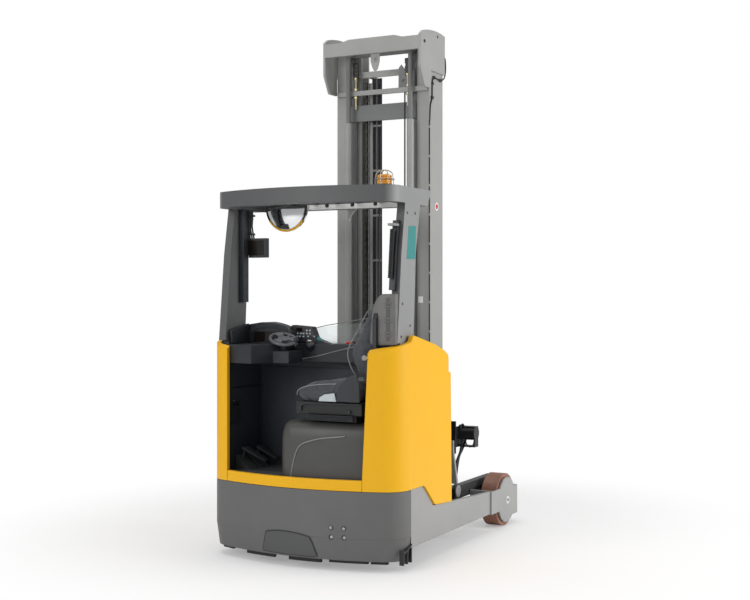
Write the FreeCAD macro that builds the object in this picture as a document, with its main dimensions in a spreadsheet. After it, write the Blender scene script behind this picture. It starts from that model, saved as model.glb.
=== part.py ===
"""Reach truck of the two tonne class, seat facing left, mast lowered and drawn back.

Frame: +X towards the fork tips, +Y to the truck's left, +Z up, millimetres. The origin is
the middle of the whole truck's footprint on the floor. Lengths along the truck are
written as stations from the plane of the two rear corners, and the helpers move them to
the origin with the named value origin_shift.
"""
import FreeCAD, Part
import math
import os
import re

import Sketcher

Vector = FreeCAD.Vector
doc = FreeCAD.newDocument("reach_truck")
sheet = doc.addObject("Spreadsheet::Sheet", "Sizes")
gauge = doc.addObject("App::FeaturePython", "Gauge")
gauge.addProperty("App::PropertyFloat", "Reading")

sheet_names = []
worked_out = {}
nodes = {}


# ---------------------------------------------------------------- sizes and expressions
def sizes(**values):
    """Write each driving dimension once, into its own cell with an alias."""
    for name, value in values.items():
        sheet_names.append(name)
        row = len(sheet_names)
        sheet.set(f"A{row}", name)
        sheet.set(f"B{row}", str(value))
        sheet.setAlias(f"B{row}", name)
    sheet.recompute()


def named(**formulas):
    """Give a name to a value that is worked out from the driving dimensions."""
    for name, formula in formulas.items():
        worked_out[name] = expression(formula)


def expression(text):
    """Turn plain names into references to the sheet's cells."""
    def refer(match):
        word = match.group(0)
        if word in worked_out:
            return f"({worked_out[word]})"
        return f"Sizes.{word}" if word in sheet_names else word
    return re.sub(r"(?<![.\w])[a-z][a-z_0-9]*", refer, str(text))


def measure(text):
    """The present number of an expression."""
    gauge.setExpression("Reading", expression(text))
    gauge.recompute()
    if "Invalid" in gauge.State:
        raise RuntimeError(f"no value for {text}")
    return gauge.Reading


def bind(item, prop, text):
    item.setExpression(prop, expression(text))


def place(item, x, y, z):
    """Bind an object's corner or centre to a station, a side distance and a height."""
    for letter, text in (("x", f"({x}) + origin_shift"), ("y", y), ("z", z)):
        bind(item, f"Placement.Base.{letter}", text)


def keep(item, label):
    """Register a finished object as a sub-part with its own name."""
    item.Label = label
    nodes[label] = item
    return item


# ---------------------------------------------------------------- solids
count = {"used": 0}


def fresh(stem):
    count["used"] += 1
    return f"{stem}_{count['used']}"


def block(x, y, z):
    """A box between two stations, two side distances and two heights."""
    item = doc.addObject("Part::Box", fresh("block"))
    for prop, (low, high) in (("Length", x), ("Width", y), ("Height", z)):
        bind(item, prop, f"({high}) - ({low})")
    place(item, x[0], y[0], z[0])
    return item


TURNS = {
    "X": FreeCAD.Rotation(Vector(0, 1, 0), 90),
    "Y": FreeCAD.Rotation(Vector(1, 0, 0), -90),
    "Z": FreeCAD.Rotation(),
}


def rod(axis, centre, radius, span):
    """A cylinder along an axis; centre holds the two other coordinates in X, Y, Z order."""
    item = doc.addObject("Part::Cylinder", fresh("rod"))
    item.Placement = FreeCAD.Placement(Vector(), TURNS[axis])
    bind(item, "Radius", radius)
    bind(item, "Height", f"({span[1]}) - ({span[0]})")
    spots = list(centre)
    spots.insert("XYZ".index(axis), span[0])
    place(item, *spots)
    return item


def ring(axis, centre, inner, outer, span):
    """A tube or tyre: the outer cylinder less the inner one."""
    return cut(rod(axis, centre, outer, span), rod(axis, centre, inner, span))


def fuse(*parts):
    item = doc.addObject("Part::MultiFuse", fresh("fuse"))
    item.Shapes = list(parts)
    item.Refine = True
    return item


def gather(*parts):
    """Separate solids that share one node."""
    item = doc.addObject("Part::Compound", fresh("gather"))
    item.Links = list(parts)
    return item


def cut(base, *tools):
    item = doc.addObject("Part::Cut", fresh("cut"))
    item.Base = base
    item.Tool = tools[0] if len(tools) == 1 else gather(*tools)
    item.Refine = True
    return item


def common(first, second):
    item = doc.addObject("Part::Common", fresh("common"))
    item.Base, item.Tool = first, second
    return item


def mirrored(source):
    """The same solid on the other side of the truck's middle plane."""
    item = doc.addObject("Part::Mirroring", fresh("mirrored"))
    item.Source = source
    item.Normal = Vector(0, 1, 0)
    return item


NEAR = 0.01
PLANES = {"XY": "XY_Plane", "XZ": "XZ_Plane", "YZ": "YZ_Plane"}


def arc_between(start, end, radius):
    """An arc of the radius from start to end; a positive radius turns left, round its centre."""
    middle = (start + end) * 0.5
    chord = end - start
    rise = math.sqrt(max(radius * radius - (chord.Length / 2) ** 2, 0.0))
    left = Vector(-chord.y, chord.x, 0).normalize()
    centre = middle + left * (rise if radius > 0 else -rise)
    circle = Part.Circle(centre, Vector(0, 0, 1), abs(radius))
    ends = (start, end) if radius > 0 else (end, start)
    first, last = (math.atan2(p.y - centre.y, p.x - centre.x) for p in ends)
    return Part.ArcOfCircle(circle, first, last)


def prism(plane, outline, span, taper=None, flip=False):
    """A sketch padded across its plane, as a body.

    Each corner of the outline is (a, b) in the plane, with an optional dictionary: round,
    the radius of the upright edge there, and arc, the signed radius of the side that
    follows. The span is the low and high coordinate across the plane.
    """
    body = doc.addObject("PartDesign::Body", fresh("body"))
    sketch = body.newObject("Sketcher::SketchObject", fresh("outline"))
    base = [o for o in body.Origin.OriginFeatures if o.Role == PLANES[plane]][0]
    sketch.AttachmentSupport = (base, [""])
    sketch.MapMode = "FlatFace"
    shift = " + origin_shift"
    along = [(f"({c[0]}){shift}" if plane != "YZ" else c[0], c[1]) for c in outline]
    extras = [c[2] if len(c) > 2 else {} for c in outline]
    spots = [Vector(measure(a), measure(b), 0) for a, b in along]
    total = len(spots)
    heads, tails = [], []
    for i, spot in enumerate(spots):
        following = spots[(i + 1) % total]
        if "arc" in extras[i]:
            radius = measure(extras[i]["arc"])
            edge = sketch.addGeometry(arc_between(spot, following, radius))
            near, far = (1, 2) if radius > 0 else (2, 1)
            limit = sketch.addConstraint(Sketcher.Constraint("Radius", edge, abs(radius)))
            bind(sketch, f"Constraints[{limit}]", f"abs({extras[i]['arc']})")
        else:
            edge = sketch.addGeometry(Part.LineSegment(spot, following))
            near, far = 1, 2
        heads.append((edge, near))
        tails.append((edge, far))
    for i in range(total):
        sketch.addConstraint(Sketcher.Constraint("Coincident", *tails[i - 1], *heads[i]))
    for i, (a, b) in enumerate(along):
        for kind, text, value in (("DistanceX", a, spots[i].x), ("DistanceY", b, spots[i].y)):
            limit = sketch.addConstraint(Sketcher.Constraint(kind, -1, 1, *heads[i], value))
            bind(sketch, f"Constraints[{limit}]", text)
    low, high = span
    offset = {"XY": low, "XZ": f"-({high})", "YZ": f"({low}){shift}"}[plane]
    if flip:
        offset = high
    bind(sketch, "AttachmentOffset.Base.z", offset)
    pad = body.newObject("PartDesign::Pad", fresh("pad"))
    pad.Profile = sketch
    bind(pad, "Length", f"({high}) - ({low})")
    pad.Reversed = flip
    if taper is not None:
        bind(pad, "TaperAngle", taper)
    rounds = {}
    for i, extra in enumerate(extras):
        if "round" in extra:
            rounds.setdefault(extra["round"], []).append(spots[i])
    if rounds:
        doc.recompute([sketch, pad])
    last = pad
    for radius, corners in rounds.items():
        last = soften(body, last, plane, corners, radius)
    return body


def soften(body, feature, plane, corners, radius):
    """Round the edges that stand across the plane on the given corners."""
    names = []
    for number, edge in enumerate(feature.Shape.Edges, 1):
        ends = [flat(vertex.Point, plane) for vertex in edge.Vertexes]
        depths = [depth(vertex.Point, plane) for vertex in edge.Vertexes]
        stands = len(ends) == 2 and abs(depths[0] - depths[1]) > NEAR
        if stands and any((end - corner).Length < NEAR for end in ends for corner in corners):
            names.append(f"Edge{number}")
    fillet = body.newObject("PartDesign::Fillet", fresh("round"))
    fillet.Base = (feature, names)
    bind(fillet, "Radius", radius)
    doc.recompute([fillet])
    body.Tip = fillet
    return fillet


def depth(point, plane):
    """How far a point lies across the plane."""
    return {"XY": point.z, "XZ": point.y, "YZ": point.x}[plane]


def flat(point, plane):
    """A point's place in the plane."""
    pairs = {"XY": (point.x, point.y), "XZ": (point.x, point.z), "YZ": (point.y, point.z)}
    return Vector(*pairs[plane], 0)


# ---------------------------------------------------------------- overall sizes
sizes(
    truck_width=1290, guard_top=2198, rear_bow=133, corner_round=150, roof_round=90,
    wheel_base=1490, drive_station=165, fork_reach=2540,
    gap=2, joint_gap=0.5, clearance=6,
)
named(
    half_width="truck_width / 2",
    origin_shift="-(fork_reach - rear_bow) / 2",
    load_station="drive_station + wheel_base",
)


def footprint(half, bow, inset, front, turn):
    """The plan of the rear end: two straight sides and a bowed back, inset all round."""
    radius = f"((({half})^2 + ({bow})^2) / (2 * ({bow})))"
    middle = f"({radius} - ({bow}))"
    side = f"(({half}) - ({inset}))"
    corner = f"({middle} - sqrt(({radius} - ({inset}))^2 - {side}^2))"
    curve = {"round": f"{turn} - ({inset})", "arc": f"-({radius} - ({inset}))"}
    return [
        (front, f"-{side}"),
        (corner, f"-{side}", curve),
        (corner, side, {"round": curve["round"]}),
        (front, side),
    ]


def base_plan(inset, front):
    return footprint("half_width", "rear_bow", inset, front, "corner_round")


# ---------------------------------------------------------------- rear skirt
sizes(
    skirt_low=61, skirt_crease=190, seam_level=458, skirt_seam=120, skirt_wall=26,
    skirt_taper=6, crease_step=1.5,
)


def rear_skirt():
    """Cast grey skirt round the drive compartment: straight above, drawn in below the crease."""
    upper = prism("XY", base_plan("0", "skirt_seam"), ("skirt_crease", "seam_level - gap"))
    drawn_in = prism("XY", base_plan("crease_step", "skirt_seam + 2 * skirt_wall"),
                     ("skirt_low", "skirt_crease"), taper="-skirt_taper", flip=True)
    lower = common(drawn_in, block(("-rear_bow", "skirt_seam - crease_step"),
                                   ("-half_width", "half_width"), ("skirt_low", "skirt_crease")))
    hollow = prism("XY", base_plan("skirt_wall", "skirt_seam + skirt_wall"),
                   ("skirt_low - skirt_wall", "seam_level"))
    return cut(fuse(upper, lower), hollow)


keep(rear_skirt(), "rear_skirt")


# ---------------------------------------------------------------- chassis frame and drive compartment
sizes(
    deck_top=490, deck_thick=20, apron_low=430, frame_plate=18, frame_rear=100,
    leg_face=12, leg_plate=25, leg_low=120,
    member_front=450, member_thick=26, member_high=330,
    bulkhead_wall=12, bulkhead_top=1255,
    tray_wall=15, tray_lip=70, battery_long=283, battery_wide=1223, battery_high=784,
    battery_gap=3,
    motor_radius=115, motor_high=290,
    reach_height=215, reach_barrel=40, reach_rod=20, reach_rear=365, reach_mouth=985,
)
named(
    leg_outer="half_width - leg_face",
    leg_inner="leg_outer - leg_plate",
    deck_low="deck_top - deck_thick",
    frame_front="member_front - member_thick",
    tray_top="member_high + tray_wall",
    battery_rear="member_front + battery_gap",
    battery_front="battery_rear + battery_long",
)


def chassis_frame():
    """Welded frame: deck over the drive, side plates, cross member, battery tray, bulkhead."""
    deck = prism("XY", base_plan("skirt_wall", "frame_front"), ("deck_low", "deck_top"))
    apron = cut(
        prism("XY", base_plan("skirt_wall", "skirt_seam"), ("apron_low", "deck_low")),
        prism("XY", base_plan("skirt_wall + frame_plate", "skirt_seam + frame_plate"),
              ("apron_low - frame_plate", "deck_top")))
    parts = [deck, apron]
    for side in (-1, 1):
        ends = sorted_span(side, "leg_inner - frame_plate", "leg_inner")
        parts.append(block(("frame_rear", "member_front"), ends, ("leg_low", "deck_low")))
    inner = ("-(leg_inner)", "leg_inner")
    parts.append(block(("frame_front", "member_front"), inner, ("leg_low", "member_high")))
    parts.append(block(("frame_front", "frame_front + bulkhead_wall"), inner,
                       ("member_high", "bulkhead_top")))
    parts.append(block(("frame_front", "battery_front + battery_gap + tray_wall"), inner,
                       ("member_high", "tray_top")))
    parts.append(block(("battery_front + battery_gap", "battery_front + battery_gap + tray_wall"),
                       inner, ("tray_top", "tray_top + tray_lip")))
    barrel_seat = rod("X", ("0", "reach_height"), "reach_barrel",
                      ("frame_front - joint_gap", "member_front + joint_gap"))
    return cut(fuse(*parts), barrel_seat)


def sorted_span(side, near, far):
    """The low and high side distance of a piece on one side of the truck."""
    return (near, far) if side > 0 else (f"-({far})", f"-({near})")


keep(chassis_frame(), "chassis_frame")
keep(block(("battery_rear", "battery_front"), ("-battery_wide / 2", "battery_wide / 2"),
           ("tray_top", "tray_top + battery_high")), "battery")
keep(rod("Z", ("drive_station", "0"), "motor_radius", ("deck_top", "deck_top + motor_high")),
     "drive_motor")
keep(ring("X", ("0", "reach_height"), "reach_rod + joint_gap", "reach_barrel",
          ("reach_rear", "reach_mouth")), "reach_cylinder")


# ---------------------------------------------------------------- drive unit
sizes(
    drive_radius=171.5, drive_width=140, drive_tread=28, turntable_radius=140,
    turntable_thick=25, gear_wide=70, gear_half=78, gear_low=110, hub_bore=24,
)


def drive_gearbox():
    """Steered gearbox: turntable under the deck, housing beside the wheel, wheel spindle."""
    table = rod("Z", ("drive_station", "0"), "turntable_radius",
                ("deck_low - joint_gap - turntable_thick", "deck_low - joint_gap"))
    near = "drive_width / 2 + clearance"
    housing = prism("XZ", [
        ("drive_station - gear_half", "gear_low", {"round": "gear_half / 2"}),
        ("drive_station + gear_half", "gear_low", {"round": "gear_half / 2"}),
        ("drive_station + gear_half", "deck_low - joint_gap - turntable_thick"),
        ("drive_station - gear_half", "deck_low - joint_gap - turntable_thick"),
    ], (near, f"{near} + gear_wide"))
    spindle = rod("Y", ("drive_station", "drive_radius"), "hub_bore - joint_gap",
                  ("-drive_width / 2", near))
    return fuse(table, housing, spindle)


def wheel(station, height, radius, tread, bore, span):
    """A tyre bonded on a hub that turns on a spindle; returns both."""
    tyre = ring("Y", (station, height), f"{radius} - {tread}", radius, span)
    hub = ring("Y", (station, height), bore, f"{radius} - {tread}",
               (f"{span[0]} + clearance", f"{span[1]} - clearance"))
    return tyre, hub


keep(drive_gearbox(), "drive_gearbox")
tyre, hub = wheel("drive_station", "drive_radius", "drive_radius", "drive_tread", "hub_bore",
                  ("-drive_width / 2", "drive_width / 2"))
keep(tyre, "drive_tyre")
keep(hub, "drive_hub")


# ---------------------------------------------------------------- yellow body panels
sizes(
    sill_top=520, opening_left=495, opening_right=430, opening_right_top=462,
    tab_rear=459, tab_start=304, tab_low=322, tab_low_front=306, panel_front=704, tab_round=60,
    rear_top=1245, rear_end=-62, shoulder_start=-20, shoulder_low=1274, shoulder_end=127,
    shoulder_top=1306, shoulder_round=100, crest_station=149, crest_top=1342, crest_round=20,
    flank_station=455, flank_top=1280, brow_station=590, brow_top=1239,
    brow_round=90, nose_front=657, nose_top=1206, nose_round=40, step_low=1106,
    step_front=690, step_drop=10,
)


def tab_outline():
    """Side view of a yellow panel: notched below for the leg, crested above."""
    return [
        ("-rear_bow - clearance", "seam_level"),
        ("tab_start", "seam_level", {"round": "tab_round"}),
        ("tab_rear", "tab_low", {"round": "tab_round"}),
        ("panel_front", "tab_low_front"),
        ("step_front", "step_low - step_drop"),
        ("nose_front", "step_low"),
        ("nose_front", "nose_top", {"round": "nose_round"}),
        ("brow_station", "brow_top", {"round": "brow_round"}),
        ("flank_station", "flank_top"),
        ("crest_station", "crest_top", {"round": "crest_round"}),
        ("shoulder_end", "shoulder_top", {"round": "crest_round"}),
        ("shoulder_start", "shoulder_low", {"round": "shoulder_round"}),
        ("rear_end", "rear_top"),
        ("-rear_bow - clearance", "rear_top"),
    ]


def body_panel(side):
    """One yellow side panel: it wraps the rear corner and ends at the cab opening."""
    shell = cut(prism("XY", base_plan("0", "panel_front"),
                      ("tab_low_front - clearance", "crest_top + clearance")),
                prism("XY", base_plan("skirt_wall", "panel_front + skirt_wall"),
                      ("tab_low_front - skirt_wall", "crest_top + skirt_wall")))
    side_view = prism("XZ", tab_outline(), ("-truck_width", "truck_width"))
    trimmed = common(shell, side_view)
    wide = f"{side} * truck_width"
    low_edge, high_edge = ("opening_left", "opening_left") if side > 0 else \
        ("-opening_right", "-opening_right_top")
    rear_view = prism("YZ", [
        (low_edge, "tab_low_front - skirt_wall"), (wide, "tab_low_front - skirt_wall"),
        (wide, "crest_top + skirt_wall"), (high_edge, "crest_top + skirt_wall"),
        (high_edge, "rear_top"), (low_edge, "sill_top"),
    ] if side > 0 else [
        (low_edge, "tab_low_front - skirt_wall"), (low_edge, "sill_top"),
        (high_edge, "rear_top"), (high_edge, "crest_top + skirt_wall"),
        (wide, "crest_top + skirt_wall"), (wide, "tab_low_front - skirt_wall"),
    ], ("-rear_bow - skirt_wall", "panel_front + skirt_wall"))
    return common(trimmed, rear_view)


def rear_sill():
    """Yellow entry sill between the two panels."""
    band = cut(prism("XY", base_plan("0", "corner_round"), ("seam_level", "sill_top")),
               prism("XY", base_plan("skirt_wall", "corner_round + skirt_wall"),
                     ("seam_level - skirt_wall", "sill_top + skirt_wall")))
    slot = block(("-rear_bow - skirt_wall", "0"), ("-opening_right + gap", "opening_left - gap"),
                 ("seam_level", "sill_top"))
    return common(band, slot)


keep(body_panel(1), "side_panel_left")
keep(body_panel(-1), "side_panel_right")
keep(rear_sill(), "rear_sill")


# ---------------------------------------------------------------- legs, rails and load wheels
sizes(
    leg_root_high=303, leg_tip_high=267, leg_step=716, wheel_plate_rear=1370,
    leg_end=1385, web_thick=15, web_front=1400, wheel_wall=20, plate_front=1854,
    nose_plate=15, plate_low_rear=116, plate_low_front=60, plate_high_front=255,
    lobe_radius=152, plate_split=1600,
    load_radius=177.5, load_width=106, load_tread=32, load_outer=18, axle_radius=25,
    rail_face=477, rail_web=18, rail_lip=425, rail_low=233, rail_high=319, rail_flange=12,
    rail_step=7, hanger_half=55, hanger_thick=15, hanger_low=130,
    stop_station=1142, stop_high=296, stop_radius=46, stop_thick=23,
)
named(
    rail_middle="(rail_low + rail_high) / 2",
    rail_front="plate_front - nose_plate",
)


def leg():
    """Right leg: side plate, floor web, wheel plate with round lobes, bulkhead and nose."""
    side = prism("XZ", [
        ("skirt_seam + gap", "leg_low"), ("leg_end", "leg_low"), ("leg_end", "leg_tip_high"),
        ("leg_step", "leg_root_high"), ("tab_rear - gap", "tab_low - 2 * gap"),
        ("tab_start - gap", "seam_level - gap", {"round": "tab_round + gap"}),
        ("skirt_seam + gap", "seam_level - gap"),
    ], ("-(leg_outer)", "-(leg_inner)"))
    web = block(("member_front", "web_front"), ("-(leg_inner)", "-rail_lip"),
                ("leg_low", "leg_low + web_thick"))
    skin = ("-half_width", "-(leg_outer)")
    rear_plate = block(("wheel_plate_rear", "plate_split"), skin, ("plate_low_rear", "leg_tip_high"))
    front_plate = block(("plate_split", "plate_front"), skin, ("plate_low_front", "plate_high_front"))
    lobe = rod("Y", ("load_station", "load_radius"), "lobe_radius", skin)
    bulkhead = block(("web_front", "web_front + wheel_wall"), ("-(leg_outer)", "-rail_face"),
                     ("leg_low", "leg_tip_high"))
    nose = block(("rail_front", "plate_front"), ("-(leg_outer)", "-rail_lip"),
                 ("plate_low_front", "plate_high_front"))
    return cut(fuse(side, web, rear_plate, front_plate, lobe, bulkhead, nose), axle())


def axle():
    """The fixed spindle of the right load wheel."""
    return rod("Y", ("load_station", "load_radius"), "axle_radius",
               ("-half_width", "-(rail_face - hanger_thick)"))


def reach_rail():
    """Right reach rail: a channel open to the middle, stepped outside, with hanger and stop."""
    bar = prism("YZ", [
        ("-rail_face + rail_step", "rail_low"), ("-rail_lip", "rail_low"),
        ("-rail_lip", "rail_low + rail_flange"), ("-rail_face + rail_web", "rail_low + rail_flange"),
        ("-rail_face + rail_web", "rail_high - rail_flange"), ("-rail_lip", "rail_high - rail_flange"),
        ("-rail_lip", "rail_high"), ("-rail_face", "rail_high"), ("-rail_face", "rail_middle"),
        ("-rail_face + rail_step", "rail_middle"),
    ], ("member_front", "rail_front"))
    hanger = block(("load_station - hanger_half", "load_station + hanger_half"),
                   ("-rail_face", "-rail_face + hanger_thick"), ("hanger_low", "rail_middle"))
    stop = rod("Y", ("stop_station", "stop_high"), "stop_radius",
               ("-rail_face - stop_thick", "-rail_face"))
    return cut(fuse(bar, hanger, stop), axle())


keep(leg(), "leg_right")
keep(mirrored(leg()), "leg_left")
keep(gather(reach_rail(), mirrored(reach_rail())), "reach_rails")
keep(gather(axle(), mirrored(axle())), "load_axles")
for side, label in ((-1, "right"), (1, "left")):
    reach = sorted_span(side, "half_width - load_outer - load_width", "half_width - load_outer")
    tyre, hub = wheel("load_station", "load_radius", "load_radius", "load_tread",
                      "axle_radius + joint_gap", reach)
    keep(tyre, f"load_tyre_{label}")
    keep(hub, f"load_hub_{label}")


# ---------------------------------------------------------------- reach carriage
sizes(
    mast_rear=1040, carriage_half=418, arm_thick=18, arm_rear=800, arm_front=1120,
    roller_thick=22, roller_rear=845, roller_front=1075, roller_stub=15,
    beam_thick=40, beam_low=150, beam_mid=230, beam_high=640, cylinder_side=228,
    cylinder_station=990, foot_high=30,
    cylinder_radius=24, wing_thick=20, wing_low=365, wing_wide=552, wing_waist=526,
    piston_back=20,
)
named(
    beam_rear="mast_rear - beam_thick",
    roller_radius="(rail_high - rail_low) / 2 - rail_flange - joint_gap",
)


def reach_carriage():
    """Carriage that runs in the rails: arms with rollers, cross beam, wings and reach rod."""
    parts = [block(("beam_rear", "mast_rear"), ("-carriage_half", "carriage_half"),
                   ("beam_low", "beam_mid"))]
    for side in (-1, 1):
        arm = sorted_span(side, "carriage_half - arm_thick", "carriage_half")
        parts.append(block(("arm_rear", "arm_front"), arm,
                           ("rail_low + rail_flange", "rail_high - rail_flange")))
        upright = sorted_span(side, "cylinder_side + cylinder_radius + clearance", "carriage_half")
        parts.append(block(("beam_rear", "mast_rear"), upright, ("beam_mid", "beam_high")))
        foot = sorted_span(side, "cylinder_side - cylinder_radius", "cylinder_side + cylinder_radius")
        parts.append(block(("cylinder_station - cylinder_radius", "beam_rear"), foot,
                           ("beam_mid - foot_high", "beam_mid")))
        stub = sorted_span(side, "carriage_half", "rail_lip + clearance")
        wheel_span = sorted_span(side, "rail_lip + clearance", "rail_lip + clearance + roller_thick")
        for station in ("roller_rear", "roller_front"):
            parts.append(rod("Y", (station, "rail_middle"), "roller_stub", stub))
            parts.append(rod("Y", (station, "rail_middle"), "roller_radius", wheel_span))
        wing = [(f"{side} * carriage_half", "wing_low"), (f"{side} * wing_wide", "wing_low"),
                (f"{side} * wing_wide", "wing_low + wing_thick"),
                (f"{side} * wing_waist", "beam_high - 3 * wing_thick"),
                (f"{side} * wing_waist", "beam_high"), (f"{side} * carriage_half", "beam_high")]
        parts.append(prism("YZ", wing if side > 0 else wing[::-1],
                           ("beam_rear", "beam_rear + wing_thick")))
    parts.append(rod("X", ("0", "reach_height"), "reach_rod", ("reach_rear + piston_back", "beam_rear")))
    return fuse(*parts)


keep(reach_carriage(), "reach_carriage")


# ---------------------------------------------------------------- mast, three nested stages
sizes(
    mast_half=340, mast_depth=215, mast_low=110, mast_high=3250,
    outer_lip=253, outer_web=15, outer_flange=22,
    middle_lip=206, middle_web=12, middle_flange=16,
    inner_lip=182, inner_web=12, inner_flange=14,
    stage_low=130, middle_roller=240, inner_roller=425, stage_top=3230,
    bracket_thick=12, tie_thick=14, tie_low=150, tie_high=300,
    middle_tie_low=350, middle_tie_high=430, middle_beam_low=2736, middle_beam_high=2843,
    inner_tie_low=600, inner_tie_high=700, inner_beam_low=3030, inner_beam_high=3071,
    beam_plate=20, inner_beam_plate=16,
)


def channel(rear, deep, outer, lip, web, flange, low, high):
    """A right-hand mast rail: a channel open to the middle plane."""
    front = f"({rear}) + ({deep})"
    return prism("XY", [
        (rear, f"-({outer})"), (front, f"-({outer})"), (front, f"-({lip})"),
        (f"{front} - ({flange})", f"-({lip})"), (f"{front} - ({flange})", f"-({outer}) + ({web})"),
        (f"({rear}) + ({flange})", f"-({outer}) + ({web})"), (f"({rear}) + ({flange})", f"-({lip})"),
        (rear, f"-({lip})"),
    ], (low, high))


named(
    middle_rear="mast_rear + outer_flange + clearance",
    middle_depth="mast_depth - 2 * outer_flange - 2 * clearance",
    middle_half="mast_half - outer_web - clearance",
    inner_rear="middle_rear + middle_flange + clearance",
    inner_depth="middle_depth - 2 * middle_flange - 2 * clearance",
    inner_half="middle_half - middle_web - clearance",
    mast_middle_station="mast_rear + mast_depth / 2",
)


def stage_rail(rear, deep, outer, lip, web, flange, roller, space, guide_lip):
    """A moving rail, cut back at the foot where its roller runs in the stage outside it."""
    rail = channel(rear, deep, outer, lip, web, flange, "stage_low", "stage_top")
    radius = f"({space}) / 2 - joint_gap"
    trim = block((f"({rear}) - clearance", f"({rear}) + ({deep}) + clearance"),
                 (f"-({outer}) - clearance", f"-({guide_lip}) + clearance"),
                 ("stage_low - clearance", f"({roller}) + {radius} + clearance"))
    foot = block((f"({rear}) + ({flange})", f"({rear}) + ({deep}) - ({flange})"),
                 (f"-({lip}) - bracket_thick", f"-({lip})"),
                 ("stage_low", f"({roller}) + {radius} + 3 * clearance"))
    stub = rod("Y", ("mast_middle_station", roller), "roller_stub",
               (f"-({guide_lip}) - clearance", f"-({lip})"))
    wheel_part = rod("Y", ("mast_middle_station", roller), radius,
                     (f"-({outer}) + joint_gap", f"-({guide_lip}) - clearance"))
    return fuse(cut(rail, trim), foot, stub, wheel_part)


def mast_outer():
    """Fixed stage on the reach carriage: two channels and a foot tie."""
    rail = channel("mast_rear", "mast_depth", "mast_half", "outer_lip", "outer_web",
                   "outer_flange", "mast_low", "mast_high")
    tie = block(("mast_rear", "mast_rear + tie_thick"), ("-outer_lip", "outer_lip"),
                ("tie_low", "tie_high"))
    return fuse(rail, mirrored(rail), tie)


def mast_middle():
    """First moving stage with its cross beams and the two lift rods that carry it."""
    rail = stage_rail("middle_rear", "middle_depth", "middle_half", "middle_lip", "middle_web",
                      "middle_flange", "middle_roller", "mast_depth - 2 * outer_flange", "outer_lip")
    parts = [rail, mirrored(rail)]
    across = ("-outer_lip + clearance", "outer_lip - clearance")
    plate = ("middle_rear - beam_plate", "middle_rear")
    parts.append(block(plate, across, ("middle_tie_low", "middle_tie_high")))
    parts.append(block(plate, across, ("middle_beam_low", "middle_beam_high")))
    parts.append(block(plate, across, ("lift_tie_low", "lift_tie_high")))
    for side in (-1, 1):
        middle = f"{side} * cylinder_side"
        parts.append(rod("Z", ("cylinder_station", middle), "rod_radius",
                         ("beam_mid + piston_back", "lift_tie_high")))
        parts.append(block(("cylinder_station", "middle_rear - beam_plate"),
                           (f"{middle} - rod_radius", f"{middle} + rod_radius"),
                           ("lift_tie_low", "lift_tie_high")))
    return fuse(*parts)


def mast_inner():
    """Second moving stage with its beams and the free lift cylinder."""
    rail = stage_rail("inner_rear", "inner_depth", "inner_half", "inner_lip", "inner_web",
                      "inner_flange", "inner_roller", "middle_depth - 2 * middle_flange", "middle_lip")
    parts = [rail, mirrored(rail)]
    across = ("-middle_lip + clearance", "middle_lip - clearance")
    plate = ("inner_rear - inner_beam_plate", "inner_rear")
    parts.append(block(plate, across, ("inner_tie_low", "inner_tie_high")))
    parts.append(block(plate, across, ("inner_beam_low", "inner_beam_high")))
    parts.append(rod("Z", ("mast_middle_station", "free_side"), "free_radius",
                     ("inner_tie_low", "free_top")))
    parts.append(rod("Z", ("mast_middle_station", "free_side"), "free_rod",
                     ("free_top", "inner_beam_high")))
    for low, high in (("inner_tie_low", "inner_tie_high"), ("inner_beam_low", "inner_beam_high")):
        parts.append(block(("inner_rear", "mast_middle_station"),
                           ("free_side - free_rod", "free_side + free_rod"), (low, high)))
    return fuse(*parts)


sizes(
    rod_radius=15, cylinder_top=2720, lift_tie_low=3165, lift_tie_high=3225,
    free_side=112, free_radius=40, free_rod=18, free_top=3000,
    cheek_rear=873, cheek_front=1258, cheek_thick=16, cheek_low=2918, cheek_waist=3030,
    cheek_heel=939, cheek_toe=1036, cheek_step=3036, cheek_top=3293, cheek_drop=3245,
    cheek_crown=912, cheek_sweep=900, cheek_round=40, head_low=3148, head_side=3236, head_mid=3252,
    head_plate=18, head_flat=165, head_slope=60, thin_rear=1018, thin_half=329,
    thin_low=2905, thin_high=2937,
)


def mast_head():
    """Head of the fixed stage: two cheeks, the bowed top bar and the chain bar below it."""
    cheek = prism("XZ", [
        ("cheek_rear", "cheek_waist", {"round": "cheek_round"}),
        ("cheek_heel", "cheek_low"), ("cheek_toe", "cheek_low"), ("cheek_toe", "cheek_step"),
        ("cheek_front", "cheek_step"), ("cheek_front", "cheek_top", {"arc": "cheek_sweep"}),
        ("cheek_crown", "cheek_top - cheek_round / 2"), ("cheek_rear", "cheek_drop"),
    ], ("-mast_half - cheek_thick", "-mast_half"))
    bar = prism("YZ", [
        ("-mast_half", "head_low"), ("mast_half", "head_low"), ("mast_half", "head_side"),
        ("head_flat + head_slope", "head_side"), ("head_flat", "head_mid"),
        ("-head_flat", "head_mid"), ("-head_flat - head_slope", "head_side"),
        ("-mast_half", "head_side"),
    ], ("cheek_rear", "cheek_rear + head_plate"))
    thin = block(("thin_rear", "mast_rear"), ("-thin_half", "thin_half"), ("thin_low", "thin_high"))
    return fuse(cheek, mirrored(cheek), bar, thin)


def lift_cylinders():
    """Two lift barrels that stand on the carriage beam behind the mast."""
    barrels = [ring("Z", ("cylinder_station", f"{side} * cylinder_side"), "rod_radius + joint_gap",
                    "cylinder_radius", ("beam_mid", "cylinder_top")) for side in (-1, 1)]
    return gather(*barrels)


keep(mast_outer(), "mast_outer")
keep(mast_head(), "mast_head")
keep(lift_cylinders(), "lift_cylinders")
keep(mast_middle(), "mast_middle")
keep(mast_inner(), "mast_inner")


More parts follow.
